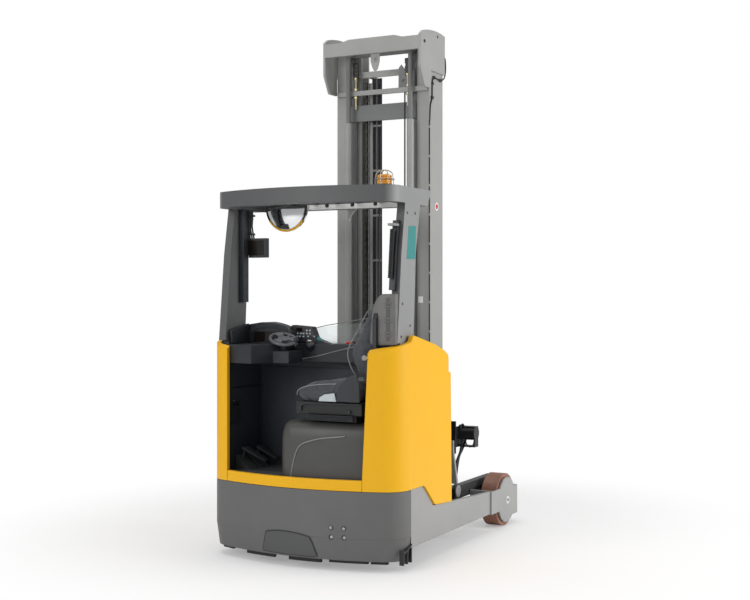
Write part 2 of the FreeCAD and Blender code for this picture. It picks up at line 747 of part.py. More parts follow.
# ---------------------------------------------------------------- fork carriage and forks
sizes(
    runner_thick=16, runner_low=140, runner_high=780, runner_roller_low=600,
    runner_roller_high=720, runner_front=1268, cross_thick=14, cross_half=300,
    cross_low=140, cross_mid=230, cross_top_low=440, cross_top_high=560, runner_wheel=40,
    tilt_height=165, tilt_station=1288, tilt_pin=9, tilt_lug=30, tilt_plate=16, tilt_half=200,
    tilt_play=10,
    fork_face=1390, fork_thick=40, fork_wide=120, fork_outer=285, fork_under=25,
    fork_tip_thick=12, fork_slope=600,
    bar_thick=38, bar_half=345, bar_low=90, bar_height=70, bar_top=497, bar_top_height=77,
    bar_post=60, bar_post_side=110, hook_high=18, hook_deep=14,
)
named(
    bar_front="fork_face - fork_thick",
    bar_rear="bar_front - bar_thick",
    runner_outer="inner_lip - clearance",
)


def fork_carriage():
    """Carriage that climbs the inner stage: two runners with rollers and two cross plates."""
    parts = []
    space = "inner_depth - 2 * inner_flange"
    for side in (-1, 1):
        runner = sorted_span(side, "runner_outer - runner_thick", "runner_outer")
        parts.append(block(("inner_rear + inner_flange + clearance", "runner_front"), runner,
                           ("runner_low", "runner_high")))
        for height in ("runner_roller_low", "runner_roller_high"):
            stub = sorted_span(side, "runner_outer", "inner_lip + clearance")
            tread = sorted_span(side, "inner_lip + clearance", "inner_lip + clearance + runner_wheel")
            parts.append(rod("Y", ("mast_middle_station", height), "roller_stub", stub))
            parts.append(rod("Y", ("mast_middle_station", height), f"({space}) / 2 - joint_gap", tread))
        lug = sorted_span(side, "tilt_half - tilt_lug", "tilt_half")
        parts.append(cut(
            block(("runner_front", "tilt_station + tilt_pin + clearance"), lug,
                  ("tilt_height - tilt_lug / 2", "tilt_height + tilt_lug / 2")),
            rod("Y", ("tilt_station", "tilt_height"), "tilt_pin + joint_gap / 2", lug)))
    wide = ("-cross_half", "cross_half")
    cross = ("mast_rear + mast_depth + clearance", "mast_rear + mast_depth + clearance + cross_thick")
    parts.append(block(cross, wide, ("cross_low", "cross_mid")))
    parts.append(block(cross, wide, ("cross_top_low", "cross_top_high")))
    return fuse(*parts)


def tilt_frame():
    """Frame that tilts on a pin across the lower edge of the fork carriage."""
    pin = rod("Y", ("tilt_station", "tilt_height"), "tilt_pin", ("-tilt_half", "tilt_half"))
    thick = ("bar_rear - joint_gap - tilt_plate", "bar_rear - joint_gap")
    plate = block(thick, ("-tilt_half", "tilt_half"), ("bar_low", "bar_top"))
    notches = [block(thick, sorted_span(side, "tilt_half - tilt_lug - clearance", "tilt_half + clearance"),
                     ("tilt_height - tilt_lug / 2 - tilt_play", "tilt_height + tilt_lug / 2 + tilt_play"))
               for side in (-1, 1)]
    window = block(("bar_rear - fork_thick", "bar_rear"),
                   ("-tilt_half + bar_post", "tilt_half - bar_post"),
                   ("bar_low + bar_height + bar_post", "bar_top - bar_top_height"))
    knuckle = block(("tilt_station", "bar_rear - joint_gap"),
                    ("-tilt_half + tilt_lug + clearance", "tilt_half - tilt_lug - clearance"),
                    ("tilt_height - tilt_pin", "tilt_height + tilt_pin"))
    return fuse(cut(plate, window, *notches), pin, knuckle)


def fork_bars():
    """Side shifter: two carriage bars joined by posts."""
    wide = ("-bar_half", "bar_half")
    deep = ("bar_rear", "bar_front")
    parts = [block(deep, wide, ("bar_low", "bar_low + bar_height")),
             block(deep, wide, ("bar_top - bar_top_height", "bar_top"))]
    for side in (-1, 1):
        post = sorted_span(side, "bar_post_side - bar_post / 2", "bar_post_side + bar_post / 2")
        parts.append(block(deep, post, ("bar_low", "bar_top")))
    return fuse(*parts)


def fork(side):
    """One hooked fork arm with a tapered blade."""
    outline = [
        ("bar_front", "fork_under"), ("fork_reach", "fork_under"),
        ("fork_reach", "fork_under + fork_tip_thick"),
        ("fork_reach - fork_slope", "fork_under + fork_thick"),
        ("fork_face", "fork_under + fork_thick"),
        ("fork_face", "bar_top + hook_high"),
        ("bar_front - hook_deep", "bar_top + hook_high"),
        ("bar_front - hook_deep", "bar_top"),
        ("bar_front", "bar_top"),
        ("bar_front", "bar_low"),
        ("bar_front - hook_deep", "bar_low"),
        ("bar_front - hook_deep", "bar_low - hook_high"),
        ("bar_front", "bar_low - hook_high"),
    ]
    return prism("XZ", outline, sorted_span(side, "fork_outer - fork_wide", "fork_outer"))


keep(fork_carriage(), "fork_carriage")
keep(tilt_frame(), "tilt_frame")
keep(fork_bars(), "fork_bars")
keep(fork(-1), "fork_right")
keep(fork(1), "fork_left")


# ---------------------------------------------------------------- guard pillars and roof
sizes(
    pillar_half=606, pillar_thick=50, pillar_base_rear=56, pillar_base_front=236,
    pillar_foot=1298, pillar_foot_rear=20, pillar_knee=1818, pillar_knee_rear=75,
    pillar_knee_front=267, pillar_head_rear=140, pillar_head_front=350, pillar_round=150,
    roof_thick=96, roof_chin=51, roof_chin_high=12, roof_front=480, roof_bar=62,
    grille_bar=22, grille_pitch=150, grille_low=2135, grille_high=2178,
    plate_hole=4.5, plate_hole_side=60, plate_hole_along=15,
    channel_rear=166, channel_front=222, channel_wide=34, channel_low=1530,
    conduit_deep=30, conduit_inner=551, conduit_wide=32, conduit_low=1600, conduit_high=2000,
)
named(
    roof_low="guard_top - roof_thick",
    pillar_inner="pillar_half - pillar_thick",
    conduit_foot_station="pillar_foot_rear + (pillar_knee_rear - pillar_foot_rear)"
                         " * (conduit_low - pillar_foot) / (pillar_knee - pillar_foot)",
    conduit_head_station="pillar_knee_rear + (pillar_head_rear - pillar_knee_rear)"
                         " * (conduit_high - pillar_knee) / (guard_top - pillar_knee)",
)
GRILLE_BARS = 7


def pillar():
    """Right guard pillar: nearly upright to the knee, then leaning forward to the roof's top."""
    return prism("XZ", [
        ("pillar_base_rear", "deck_top"), ("pillar_base_front", "deck_top"),
        ("pillar_base_front", "pillar_foot"), ("pillar_knee_front", "pillar_knee",
                                               {"round": "pillar_round"}),
        ("pillar_head_front", "guard_top"), ("pillar_head_rear", "guard_top"),
        ("pillar_knee_rear", "pillar_knee", {"round": "pillar_round"}),
        ("pillar_foot_rear", "pillar_foot"), ("pillar_base_rear", "pillar_foot"),
    ], ("-pillar_half", "-(pillar_inner)"))


def pillar_conduit():
    """Cable conduit that follows the rear edge of the right pillar past the knee."""
    foot = "conduit_foot_station - joint_gap"
    knee = "pillar_knee_rear - joint_gap"
    head = "conduit_head_station - joint_gap"
    return prism("XZ", [
        (f"{foot} - conduit_deep", "conduit_low"), (foot, "conduit_low"), (knee, "pillar_knee"),
        (head, "conduit_high"), (f"{head} - conduit_deep", "conduit_high"),
        (f"{knee} - conduit_deep", "pillar_knee"),
    ], ("-conduit_inner - conduit_wide", "-conduit_inner"))


def roof_plan(inset, front):
    return footprint("pillar_half", "rear_bow", inset, front, "roof_round")


def guard_roof():
    """Roof frame: bowed band, side bars with cut noses, front bar with fixing holes."""
    frame = cut(prism("XY", roof_plan("0", "roof_front"), ("roof_low", "guard_top")),
                prism("XY", roof_plan("roof_bar", "roof_front - roof_bar"),
                      ("roof_low - roof_bar", "guard_top + roof_bar")))
    holes = [rod("Z", (f"roof_front - roof_bar / 2 + {a} * plate_hole_along", f"{b} * plate_hole_side"),
                 "plate_hole", ("roof_low", "guard_top")) for a in (-1, 1) for b in (-1, 1)]
    chin = prism("XZ", [
        ("roof_front - roof_chin", "roof_low"), ("roof_front", "roof_low"),
        ("roof_front", "guard_top - roof_chin_high"),
    ], ("-pillar_half", "-pillar_half + roof_bar"))
    return cut(frame, pillar(), mirrored(pillar()), chin, mirrored(chin), *holes)


def roof_grille():
    """Fore and aft bars between the bow and the front bar."""
    inside = prism("XY", roof_plan("roof_bar", "roof_front - roof_bar"),
                   ("grille_low", "grille_high"))
    bars = []
    for number in range(GRILLE_BARS):
        middle = f"{number - GRILLE_BARS // 2} * grille_pitch"
        bars.append(block(("-rear_bow", "roof_front"),
                          (f"{middle} - grille_bar / 2", f"{middle} + grille_bar / 2"),
                          ("grille_low", "grille_high")))
    return common(gather(*bars), inside)


keep(pillar(), "pillar_right")
keep(mirrored(pillar()), "pillar_left")
keep(guard_roof(), "guard_roof")
keep(roof_grille(), "roof_grille")
keep(block(("channel_rear", "channel_front"), ("pillar_inner - channel_wide", "pillar_inner"),
           ("channel_low", "roof_low")), "cable_channel")
keep(pillar_conduit(), "pillar_conduit")


# ---------------------------------------------------------------- cab: floor, lining, battery cover
sizes(
    floor_thick=15, lining_half=548, lining_wall=10, lining_high=1240,
    cover_gap=0.5, cover_thick=30, cover_front=700,
    screen_wall=6, screen_left=172, screen_right=520, screen_left_top=1368,
    screen_bend=214, screen_bend_top=1408, screen_right_top=1436, screen_round=40,
)
named(
    floor_top="deck_top + floor_thick",
    lining_outer="lining_half + lining_wall",
    lining_front="frame_front - lining_wall",
)


def cab_floor():
    """Floor plate with a hole for the drive motor."""
    plate = prism("XY", base_plan("skirt_wall", "lining_front"), ("deck_top", "floor_top"))
    inside = block(("-rear_bow", "lining_front"), ("-lining_half", "lining_half"),
                   ("deck_top", "floor_top"))
    return cut(common(plate, inside), rod("Z", ("drive_station", "0"), "motor_radius + gap",
                                          ("deck_top", "floor_top")))


def cab_lining():
    """Dark inner walls on three sides, with a ledge over the yellow panels."""
    heights = ("floor_top", "lining_high")
    walls = cut(block(("-rear_bow", "frame_front"), ("-(lining_outer)", "lining_outer"), heights),
                block(("-rear_bow", "lining_front"), ("-lining_half", "lining_half"), heights))
    ledges = [block(("-rear_bow", "frame_front"),
                    sorted_span(side, "lining_half", "half_width - skirt_wall"),
                    ("lining_high - lining_wall", "lining_high")) for side in (-1, 1)]
    inside = prism("XY", base_plan("skirt_wall", "frame_front"), heights)
    return cut(common(fuse(walls, *ledges), inside), pillar(), mirrored(pillar()))


def protective_screen():
    """Clear screen on the bulkhead between the operator and the mast."""
    return prism("YZ", [
        ("-screen_right", "bulkhead_top"), ("screen_left", "bulkhead_top"),
        ("screen_left", "screen_left_top", {"round": "screen_round"}),
        ("-screen_bend", "screen_bend_top"), ("-screen_right", "screen_right_top"),
    ], ("frame_front + screen_wall / 2", "frame_front + 3 * screen_wall / 2"))


keep(cab_floor(), "cab_floor")
keep(cab_lining(), "cab_lining")
keep(block(("frame_front + bulkhead_wall + gap", "cover_front"),
           ("-(half_width - skirt_wall) + gap", "half_width - skirt_wall - gap"),
           ("tray_top + battery_high + cover_gap", "tray_top + battery_high + cover_gap + cover_thick")),
     "battery_cover")
keep(protective_screen(), "protective_screen")


# ---------------------------------------------------------------- seat
sizes(
    pedestal_rear=-88, pedestal_front=400, pedestal_left=130, pedestal_right=540,
    pedestal_high=842, pedestal_round=70, pedestal_wall=6,
    bellows_rear=-30, bellows_front=300, bellows_left=-75, bellows_right=370, bellows_top=882,
    slide_rear=-60, slide_front=330, slide_left=-15, slide_right=420, slide_top=957,
    cushion_rear=-80, cushion_front=350, cushion_left=5, cushion_right=410, cushion_top=1059,
    cushion_round=40, back_rear=-30, back_front=325, back_foot=385, back_heel=440,
    back_face=468, back_waist=1110, back_swell=318, back_swell_low=1180, back_swell_high=1285,
    back_top=1555, back_shoulder=452, back_round=60, shell_thick=24, shell_rear=-20,
    shell_front=345, shell_low=1090, shell_top=1570, shell_round=60, shell_slope=70,
)


def pedestal_plan(inset):
    """Plan of the pedestal, rounded towards the operator's feet and inset all round."""
    curve = {"round": f"pedestal_round - ({inset})"}
    return [
        (f"pedestal_rear + ({inset})", f"-pedestal_right + ({inset})"),
        (f"pedestal_rear + ({inset})", f"pedestal_left - ({inset})", curve),
        (f"pedestal_front - ({inset})", f"pedestal_left - ({inset})", curve),
        (f"pedestal_front - ({inset})", f"-pedestal_right + ({inset})"),
    ]


def seat_pedestal():
    """Hollow moulded cover over the drive motor that carries the seat."""
    shells = []
    for inset, heights in (("0", ("floor_top", "pedestal_high")),
                           ("pedestal_wall", ("floor_top", "pedestal_high - pedestal_wall"))):
        shells.append(common(prism("XY", pedestal_plan(inset), heights),
                             prism("XY", base_plan(f"skirt_wall + gap + {inset}", "lining_front"),
                                   heights)))
    return cut(*shells)


def seat_suspension():
    """Bellows and slide plate between the pedestal and the cushion."""
    return fuse(block(("bellows_rear", "bellows_front"), ("-bellows_right", "bellows_left"),
                      ("pedestal_high", "bellows_top")),
                block(("slide_rear", "slide_front"), ("-slide_right", "-slide_left"),
                      ("bellows_top", "slide_top")))


def seat_cushion():
    return prism("YZ", [
        ("-cushion_right", "slide_top + joint_gap / 2"),
        ("cushion_left", "slide_top + joint_gap / 2", {"round": "cushion_round"}),
        ("cushion_left", "cushion_top", {"round": "cushion_round"}),
        ("-cushion_right", "cushion_top"),
    ], ("cushion_rear", "cushion_front"))


def seat_backrest():
    return prism("YZ", [
        ("-back_heel", "cushion_top + joint_gap / 2"), ("-back_foot", "cushion_top + joint_gap / 2"),
        ("-back_swell", "back_swell_low", {"round": "back_round"}),
        ("-back_swell", "back_swell_high", {"round": "back_round"}),
        ("-back_shoulder", "back_top"), ("-back_face", "back_top"), ("-back_face", "back_waist"),
    ], ("back_rear", "back_front"))


def seat_back_shell():
    return prism("XZ", [
        ("shell_rear", "shell_low"), ("shell_front", "shell_low"),
        ("shell_front", "shell_top", {"round": "shell_round"}),
        ("shell_rear + shell_slope", "shell_top", {"round": "shell_round"}),
        ("shell_rear", "shell_top - 2 * shell_slope"),
    ], ("-back_face - shell_thick - joint_gap / 2", "-back_face - joint_gap / 2"))


keep(seat_pedestal(), "seat_pedestal")
keep(seat_suspension(), "seat_suspension")
keep(seat_cushion(), "seat_cushion")
keep(seat_backrest(), "seat_backrest")
keep(seat_back_shell(), "seat_back_shell")


# ---------------------------------------------------------------- controls
sizes(
    dash_rear=-110, dash_low=1165, dash_top=1275, dash_wide=330, dash_inner=250, dash_arm=300,
    dash_right=200, dash_round=30,
    pod_rear=70, pod_front=232, pod_right=140, pod_top=1235,
    hood_rear=245, hood_front=400, hood_near=246, hood_shoulder=1371, hood_far_high=1389,
    hood_crown=440, hood_top=1405, hood_sweep=-420, hood_round=30,
    keypad_rear=345, keypad_front=400, keypad_near=120, keypad_far=298, keypad_low=1300,
    keypad_near_high=1363, keypad_far_high=1374, keypad_crown=285, keypad_skew=16, keypad_round=14,
    steer_station=150, steer_side=226, steer_height=1305, steer_tilt=24, steer_turn=45,
    steer_radius=80, steer_rim=9, steer_hub=34, steer_hub_high=22, steer_column=16,
    steer_drop=120, steer_rise=8, spoke_half=9,
    pedal_near=430, pedal_far=540, pedal_high=590, pedal_wide=95, pedal_first=105,
    pedal_second=228,
    mirror_station=400, mirror_side=350, mirror_top=2120, mirror_radius=145, mirror_thick=28,
    mirror_stem=12,
    monitor_rear=228, monitor_front=266, monitor_near=400, monitor_far=525, monitor_low=1806,
    monitor_high=1926, monitor_arm=11,
    beacon_station=350, beacon_side=360, beacon_radius=45, beacon_base=50, beacon_foot=20,
    beacon_high=127, beacon_plate=6, beacon_plate_half=60,
)


def steering_axis():
    """The rotation that leans the steering column back and towards the seat."""
    lean = Vector(-math.sin(math.radians(measure("steer_turn"))),
                  -math.cos(math.radians(measure("steer_turn"))), 0)
    return FreeCAD.Rotation(Vector(0, 0, 1).cross(lean), measure("steer_tilt"))


def at_steering(item):
    """Lean a group built round the frame's origin and carry it to the steering wheel."""
    item.Placement = FreeCAD.Placement(Vector(), steering_axis())
    place(item, "steer_station", "steer_side", "steer_height")
    return item


def steering_wheel():
    """Small rim with three spokes, a hub and the column that turns with it."""
    rim = doc.addObject("Part::Torus", fresh("rim"))
    bind(rim, "Radius1", "steer_radius")
    bind(rim, "Radius2", "steer_rim")
    hub_part = rod("Z", ("-origin_shift", "0"), "steer_hub", ("-steer_hub_high / 2", "steer_rise"))
    column = rod("Z", ("-origin_shift", "0"), "steer_column", ("-steer_drop", "0"))
    bar = block(("-origin_shift - steer_radius", "-origin_shift + steer_radius"),
                ("-spoke_half", "spoke_half"), ("-spoke_half", "0"))
    stem = block(("-origin_shift - spoke_half", "-origin_shift + spoke_half"),
                 ("-steer_radius", "0"), ("-spoke_half", "0"))
    return at_steering(fuse(rim, hub_part, column, bar, stem))


def dash_console():
    """Shelf along the left wall and the bulkhead, with the steering pod."""
    shelf = prism("XY", [
        ("dash_rear", "dash_wide", {"round": "dash_round"}), ("dash_rear", "lining_half"),
        ("lining_front", "lining_half"), ("lining_front", "-dash_right"),
        ("dash_arm", "-dash_right", {"round": "dash_round"}), ("dash_arm", "dash_inner"),
        ("pod_rear", "dash_inner"),
    ], ("dash_low", "dash_top"))
    pod = block(("pod_rear", "pod_front"), ("pod_right", "dash_inner"), ("dash_low", "pod_top"))
    bore = at_steering(gather(rod("Z", ("-origin_shift", "0"), "steer_column + joint_gap",
                                ("-2 * steer_drop", "0"))))
    inside = prism("XY", base_plan("skirt_wall + gap", "lining_front"), ("dash_low", "dash_top"))
    return cut(common(fuse(shelf, pod), inside), bore)


def instrument_hood():
    """Arched cowl over the displays by the left wall, recessed for the keypad in front."""
    arch = prism("YZ", [
        ("hood_near", "dash_top"), ("lining_half", "dash_top"), ("lining_half", "hood_far_high"),
        ("hood_crown", "hood_top", {"arc": "-hood_sweep"}), ("hood_near", "hood_shoulder - hood_round"),
    ], ("hood_rear", "hood_front"))
    recess = block(("keypad_rear - gap", "hood_front + gap"), ("hood_near - gap", "keypad_far + gap"),
                   ("dash_top - gap", "hood_top + gap"))
    return cut(arch, recess)


def control_panel():
    """Upright keypad beside the hood, on the dash along the bulkhead."""
    return prism("YZ", [
        ("keypad_near - keypad_skew", "dash_top"), ("keypad_far - keypad_skew", "dash_top"),
        ("keypad_far", "keypad_low + keypad_round", {"round": "keypad_round"}),
        ("keypad_far", "keypad_near_high", {"round": "keypad_round"}),
        ("keypad_crown", "keypad_far_high + keypad_round", {"round": "keypad_round"}),
        ("keypad_near + keypad_skew", "keypad_near_high + keypad_round", {"round": "keypad_round"}),
        ("keypad_near - keypad_skew", "keypad_low"),
    ], ("keypad_rear", "keypad_front"))


def pedals():
    wedges = [prism("YZ", [("pedal_near", "floor_top"), ("pedal_far", "floor_top"),
                           ("pedal_far", "pedal_high")],
                    (start, f"{start} + pedal_wide")) for start in ("pedal_first", "pedal_second")]
    return gather(*wedges)


def mirror():
    """Half-round wide-angle mirror hung from the roof grille."""
    deep = ("mirror_station - mirror_thick / 2", "mirror_station + mirror_thick / 2")
    disc = rod("X", ("mirror_side", "mirror_top"), "mirror_radius", deep)
    below = block(deep, ("mirror_side - mirror_radius", "mirror_side + mirror_radius"),
                  ("mirror_top - mirror_radius", "mirror_top"))
    stem = rod("Z", ("mirror_station", "2 * grille_pitch"), "mirror_stem", ("mirror_top", "grille_low"))
    return fuse(common(disc, below), stem)


def monitor():
    case = block(("monitor_rear", "monitor_front"), ("monitor_near", "monitor_far"),
                 ("monitor_low", "monitor_high"))
    arm = rod("Y", ("(monitor_rear + monitor_front) / 2", "(monitor_low + monitor_high) / 2"),
              "monitor_arm", ("monitor_far", "pillar_inner"))
    return fuse(case, arm)


def beacon():
    """Warning beacon on a plate over the grille."""
    top = "guard_top"
    spot = ("beacon_station", "-beacon_side")
    plate = block(("beacon_station - beacon_plate_half", "roof_front - roof_bar / 2"),
                  ("-beacon_side - beacon_plate_half", "-beacon_side + beacon_plate_half"),
                  (top, f"{top} + beacon_plate"))
    foot = rod("Z", spot, "beacon_base", (f"{top} + beacon_plate", f"{top} + beacon_plate + beacon_foot"))
    dome = rod("Z", spot, "beacon_radius", (f"{top} + beacon_plate + beacon_foot", f"{top} + beacon_high"))
    return fuse(plate, foot, dome)


keep(dash_console(), "dash_console")
keep(instrument_hood(), "instrument_hood")
keep(control_panel(), "control_panel")
keep(steering_wheel(), "steering_wheel")
keep(pedals(), "pedals")
keep(mirror(), "mirror")
keep(monitor(), "monitor")
keep(beacon(), "beacon")


# ---------------------------------------------------------------- hose guide on the carriage wing
sizes(
    guide_plate=12, guide_near=496, guide_far=534, guide_low=555, guide_high=763,
    hoop_rear=1105, hoop_front=1165, hoop_near=514, hoop_far=633, hoop_low=592, hoop_high=724,
    hoop_wall=8, drum_radius=44,
)


def hose_guide():
    """Plate on the wing with a square hoop and a drum that leads the hoses."""
    plate = block(("beam_rear + wing_thick", "beam_rear + wing_thick + guide_plate"),
                  ("-guide_far", "-guide_near"), ("guide_low", "guide_high"))
    hoop = cut(block(("hoop_rear", "hoop_front"), ("-hoop_far", "-hoop_near"),
                     ("hoop_low", "hoop_high")),
               block(("hoop_rear - clearance", "hoop_front + clearance"),
                     ("-hoop_far + hoop_wall", "-hoop_near - hoop_wall"),
                     ("hoop_low + hoop_wall", "hoop_high - hoop_wall")))
    arm = block(("beam_rear + wing_thick + guide_plate", "hoop_rear"),
                ("-hoop_near - hoop_wall", "-hoop_near"), ("hoop_low", "hoop_high"))
    drum = rod("Y", ("(hoop_rear + hoop_front) / 2", "hoop_high - drum_radius"), "drum_radius",
               ("-hoop_far", "-hoop_near"))
    return fuse(plate, hoop, arm, drum)


keep(hose_guide(), "hose_guide")


# ---------------------------------------------------------------- check and write
def write_out():
    doc.recompute()
    for item in doc.Objects:
        if {"Invalid", "Error"} & set(item.State):
            raise RuntimeError(f"{item.Name} did not recompute")
    for label, item in nodes.items():
        if item.Shape.isNull() or not item.Shape.isValid():
            raise RuntimeError(f"{label} has no valid shape")
    os.makedirs("parts", exist_ok=True)
    for label, item in nodes.items():
        item.Shape.exportStep(os.path.join("parts", f"{label}.step"))
        box = item.Shape.BoundBox
        print(f"{label}: {len(item.Shape.Solids)} solids, x {box.XMin:.0f}..{box.XMax:.0f},"
              f" y {box.YMin:.0f}..{box.YMax:.0f}, z {box.ZMin:.0f}..{box.ZMax:.0f}")


write_out()
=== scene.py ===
# %% [markdown]
# # A reach truck with a telescopic mast
# The CAD model gives every solid its exact place. This file gives each surface its real
# finish, adds the small parts that are too fine for CAD, and lights the result in a plain
# studio. We start by loading the frame, because every position below is read from it. They
# are given as stations ahead of the rear corners, and the skirt's front edge, 120 mm ahead
# of those corners, ties the stations to the frame.

import math

import bmesh
import bpy
from mathutils import Matrix, Vector


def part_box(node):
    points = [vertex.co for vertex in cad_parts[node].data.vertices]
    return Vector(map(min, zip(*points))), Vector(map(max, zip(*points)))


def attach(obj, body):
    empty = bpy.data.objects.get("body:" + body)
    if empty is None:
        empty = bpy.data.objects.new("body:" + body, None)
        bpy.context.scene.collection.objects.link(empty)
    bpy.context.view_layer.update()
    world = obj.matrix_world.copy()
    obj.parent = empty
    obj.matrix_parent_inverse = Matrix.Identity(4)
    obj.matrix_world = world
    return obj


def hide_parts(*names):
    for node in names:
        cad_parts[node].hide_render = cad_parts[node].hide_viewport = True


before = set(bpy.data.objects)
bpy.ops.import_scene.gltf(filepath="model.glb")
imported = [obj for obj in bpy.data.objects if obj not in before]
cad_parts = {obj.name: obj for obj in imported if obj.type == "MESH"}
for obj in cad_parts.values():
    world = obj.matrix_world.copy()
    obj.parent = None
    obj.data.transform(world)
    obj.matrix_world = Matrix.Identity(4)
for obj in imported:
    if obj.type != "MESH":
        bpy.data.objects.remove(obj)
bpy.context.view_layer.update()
MM = 0.001
SKIRT_FRONT = 0.120
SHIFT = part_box("rear_skirt")[1][0] - SKIRT_FRONT
UP = (0, 0, 1)
WAVE = 6.283


def at(station, side, height):
    """Metres in the frame, from millimetres ahead of the rear corners, left and up."""
    return Vector((station * MM + SHIFT, side * MM, height * MM))


def on_x(station, *spots):
    """Points at one station, from (side, height) pairs."""
    return [(station, y, z) for y, z in spots]


def on_y(side, *spots):
    """Points at one side distance, from (station, height) pairs."""
    return [(x, side, z) for x, z in spots]


def circle(count):
    """Angles that divide a full turn."""
    return [2 * math.pi * i / count for i in range(count)]


# %% [markdown]
# ## Building materials from nodes
# A finish is a small graph: a shader, and textures that vary its colour, roughness and
# surface height. One helper adds a node with its settings and links, and one recipe wires the
# textures to the shader, so each material below stays short. Colours are hex values, as on a
# paint chart, and one function makes them linear.

# %% Helpers for colours and nodes
def linear(code):
    """An sRGB hex colour as linear red, green, blue and full alpha."""
    parts = [int(code[i:i + 2], 16) / 255 for i in (1, 3, 5)]
    return (*[c / 12.92 if c <= 0.04045 else ((c + 0.055) / 1.055) ** 2.4 for c in parts], 1.0)


def wire(tree, node, **inputs):
    """Sets or links a node's inputs by name, with _ for a space, or n0, n1 for a number."""
    for key, value in inputs.items():
        numbered = key[0] == "n" and key[1:].isdigit()
        socket = node.inputs[int(key[1:]) if numbered else key.replace("_", " ")]
        if isinstance(value, bpy.types.NodeSocket):
            tree.links.new(value, socket)
        else:
            socket.default_value = value


def add(tree, kind, settings=None, **inputs):
    """Adds a shader node with its settings and its inputs."""
    node = tree.nodes.new("ShaderNode" + kind)
    for key, value in (settings or {}).items():
        setattr(node, key, value)
    wire(tree, node, **inputs)
    return node


def blank(name):
    """A new material: its tree, its shader and the coordinates of the object."""
    material = bpy.data.materials.new(name)
    material.use_nodes = True
    tree = material.node_tree
    shader = tree.nodes["Principled BSDF"]
    place = add(tree, "TexCoord").outputs["Object"]
    return material, tree, shader, place


def surface(tree, shader, colour=None, gloss=None, bump=None):
    """Varies a shader's colour, gloss and height by textures, over corners that look rounded.

    colour is (value, hex code, low, high, start, end), gloss is (value, low, high) and bump is
    (height, strength, depth, corner radius in millimetres).
    """
    if colour:
        value, code, low, high, start, end = colour
        shade = add(tree, "MapRange", Value=value, From_Min=start, From_Max=end,
                    To_Min=low, To_Max=high)
        tint = add(tree, "Mix", {"data_type": "RGBA", "blend_type": "MULTIPLY"},
                   n0=1.0, n6=linear(code), n7=shade.outputs["Result"])
        wire(tree, shader, Base_Color=tint.outputs[2])
    if gloss:
        value, low, high = gloss
        rough = add(tree, "MapRange", Value=value, To_Min=low, To_Max=high)
        wire(tree, shader, Roughness=rough.outputs["Result"])
    if bump:
        height, strength, depth, radius_mm = bump
        raised = add(tree, "Bump", Strength=strength, Distance=depth, Height=height)
        if radius_mm:
            corner = add(tree, "Bevel", {"samples": 4}, Radius=radius_mm * MM)
            wire(tree, raised, Normal=corner.outputs["Normal"])
        wire(tree, shader, Normal=raised.outputs["Normal"])


print("yellow in linear light", [round(c, 3) for c in linear("#EFB41A")])

# %% [markdown]
# ## Powder coat
# The body panels, skirt and mast are steel with a baked powder coat. Powder melts into a
# skin with a faint orange peel, a ripple about two millimetres across, and industrial
# greys add a fine texture. The gloss comes from a clear binder, so the shader stays
# dielectric with an IOR of 1.5. Corners are rounded by a few millimetres of paint and
# bent sheet: the Bevel node bends the shading there, so an edge catches a line of light.

# %% Powder coat recipe
def coated(name, code, roughness, peel, ripple_mm=2.0, dust=0.10, radius_mm=4.0):
    """Powder coat of one colour, with orange peel, soft dirt clouds and rounded corners."""
    material, tree, shader, place = blank(name)
    clouds = add(tree, "TexNoise", Vector=place, Scale=2.2, Detail=5.0, Roughness=0.6)
    rub = add(tree, "TexNoise", Vector=place, Scale=9.0, Detail=3.0)
    grain = add(tree, "TexNoise", Vector=place, Scale=1 / (ripple_mm * MM), Detail=2.0)
    surface(tree, shader, (clouds.outputs["Fac"], code, 1.0 - dust, 1.0 + dust * 0.4, 0.3, 0.7),
            (rub.outputs["Fac"], roughness - 0.06, roughness + 0.08),
            (grain.outputs["Fac"], peel, 0.0004, radius_mm))
    wire(tree, shader, IOR=1.5)
    return material


yellow_coat = coated("yellow_powder_coat", "#EFB41A", 0.44, 0.12, radius_mm=6.0, dust=0.03)
tree = yellow_coat.node_tree
wire(tree, tree.nodes["Principled BSDF"], Specular_IOR_Level=0.25)
# The skirt is the same grey paint as the legs. Its darker grey is painted shade for its rear face,
# which lies away from the key light.
skirt_coat_painted_shade = coated("skirt_grey_coat_with_painted_shade", "#646464", 0.52, 0.35, 1.6)
leg_coat = coated("light_grey_powder_coat", "#9C9C9B", 0.5, 0.3, 1.6)
guard_coat = coated("dark_grey_powder_coat", "#5E5F60", 0.5, 0.35, 1.6)
pillar_coat = coated("pillar_grey_coat_with_painted_shade", "#8E8F8F", 0.5, 0.3, 1.6)
# The pillars and the roof carry a painted shade: faces that don't look outwards get a darker grey,
# #555657, for the shade they lie in, and outward faces keep the paint. Normal times position is
# positive where a face looks outwards.
tree = pillar_coat.node_tree
facing = add(tree, "TexCoord")
turn = add(tree, "VectorMath", {"operation": "MULTIPLY"}, n0=facing.outputs["Normal"],
           n1=facing.outputs["Object"])
outward = add(tree, "SeparateXYZ", Vector=turn.outputs[0])
cover = add(tree, "MapRange", Value=outward.outputs["Y"], From_Min=0.2, From_Max=0.5)
shader = tree.nodes["Principled BSDF"]
painted = shader.inputs["Base Color"].links[0].from_socket
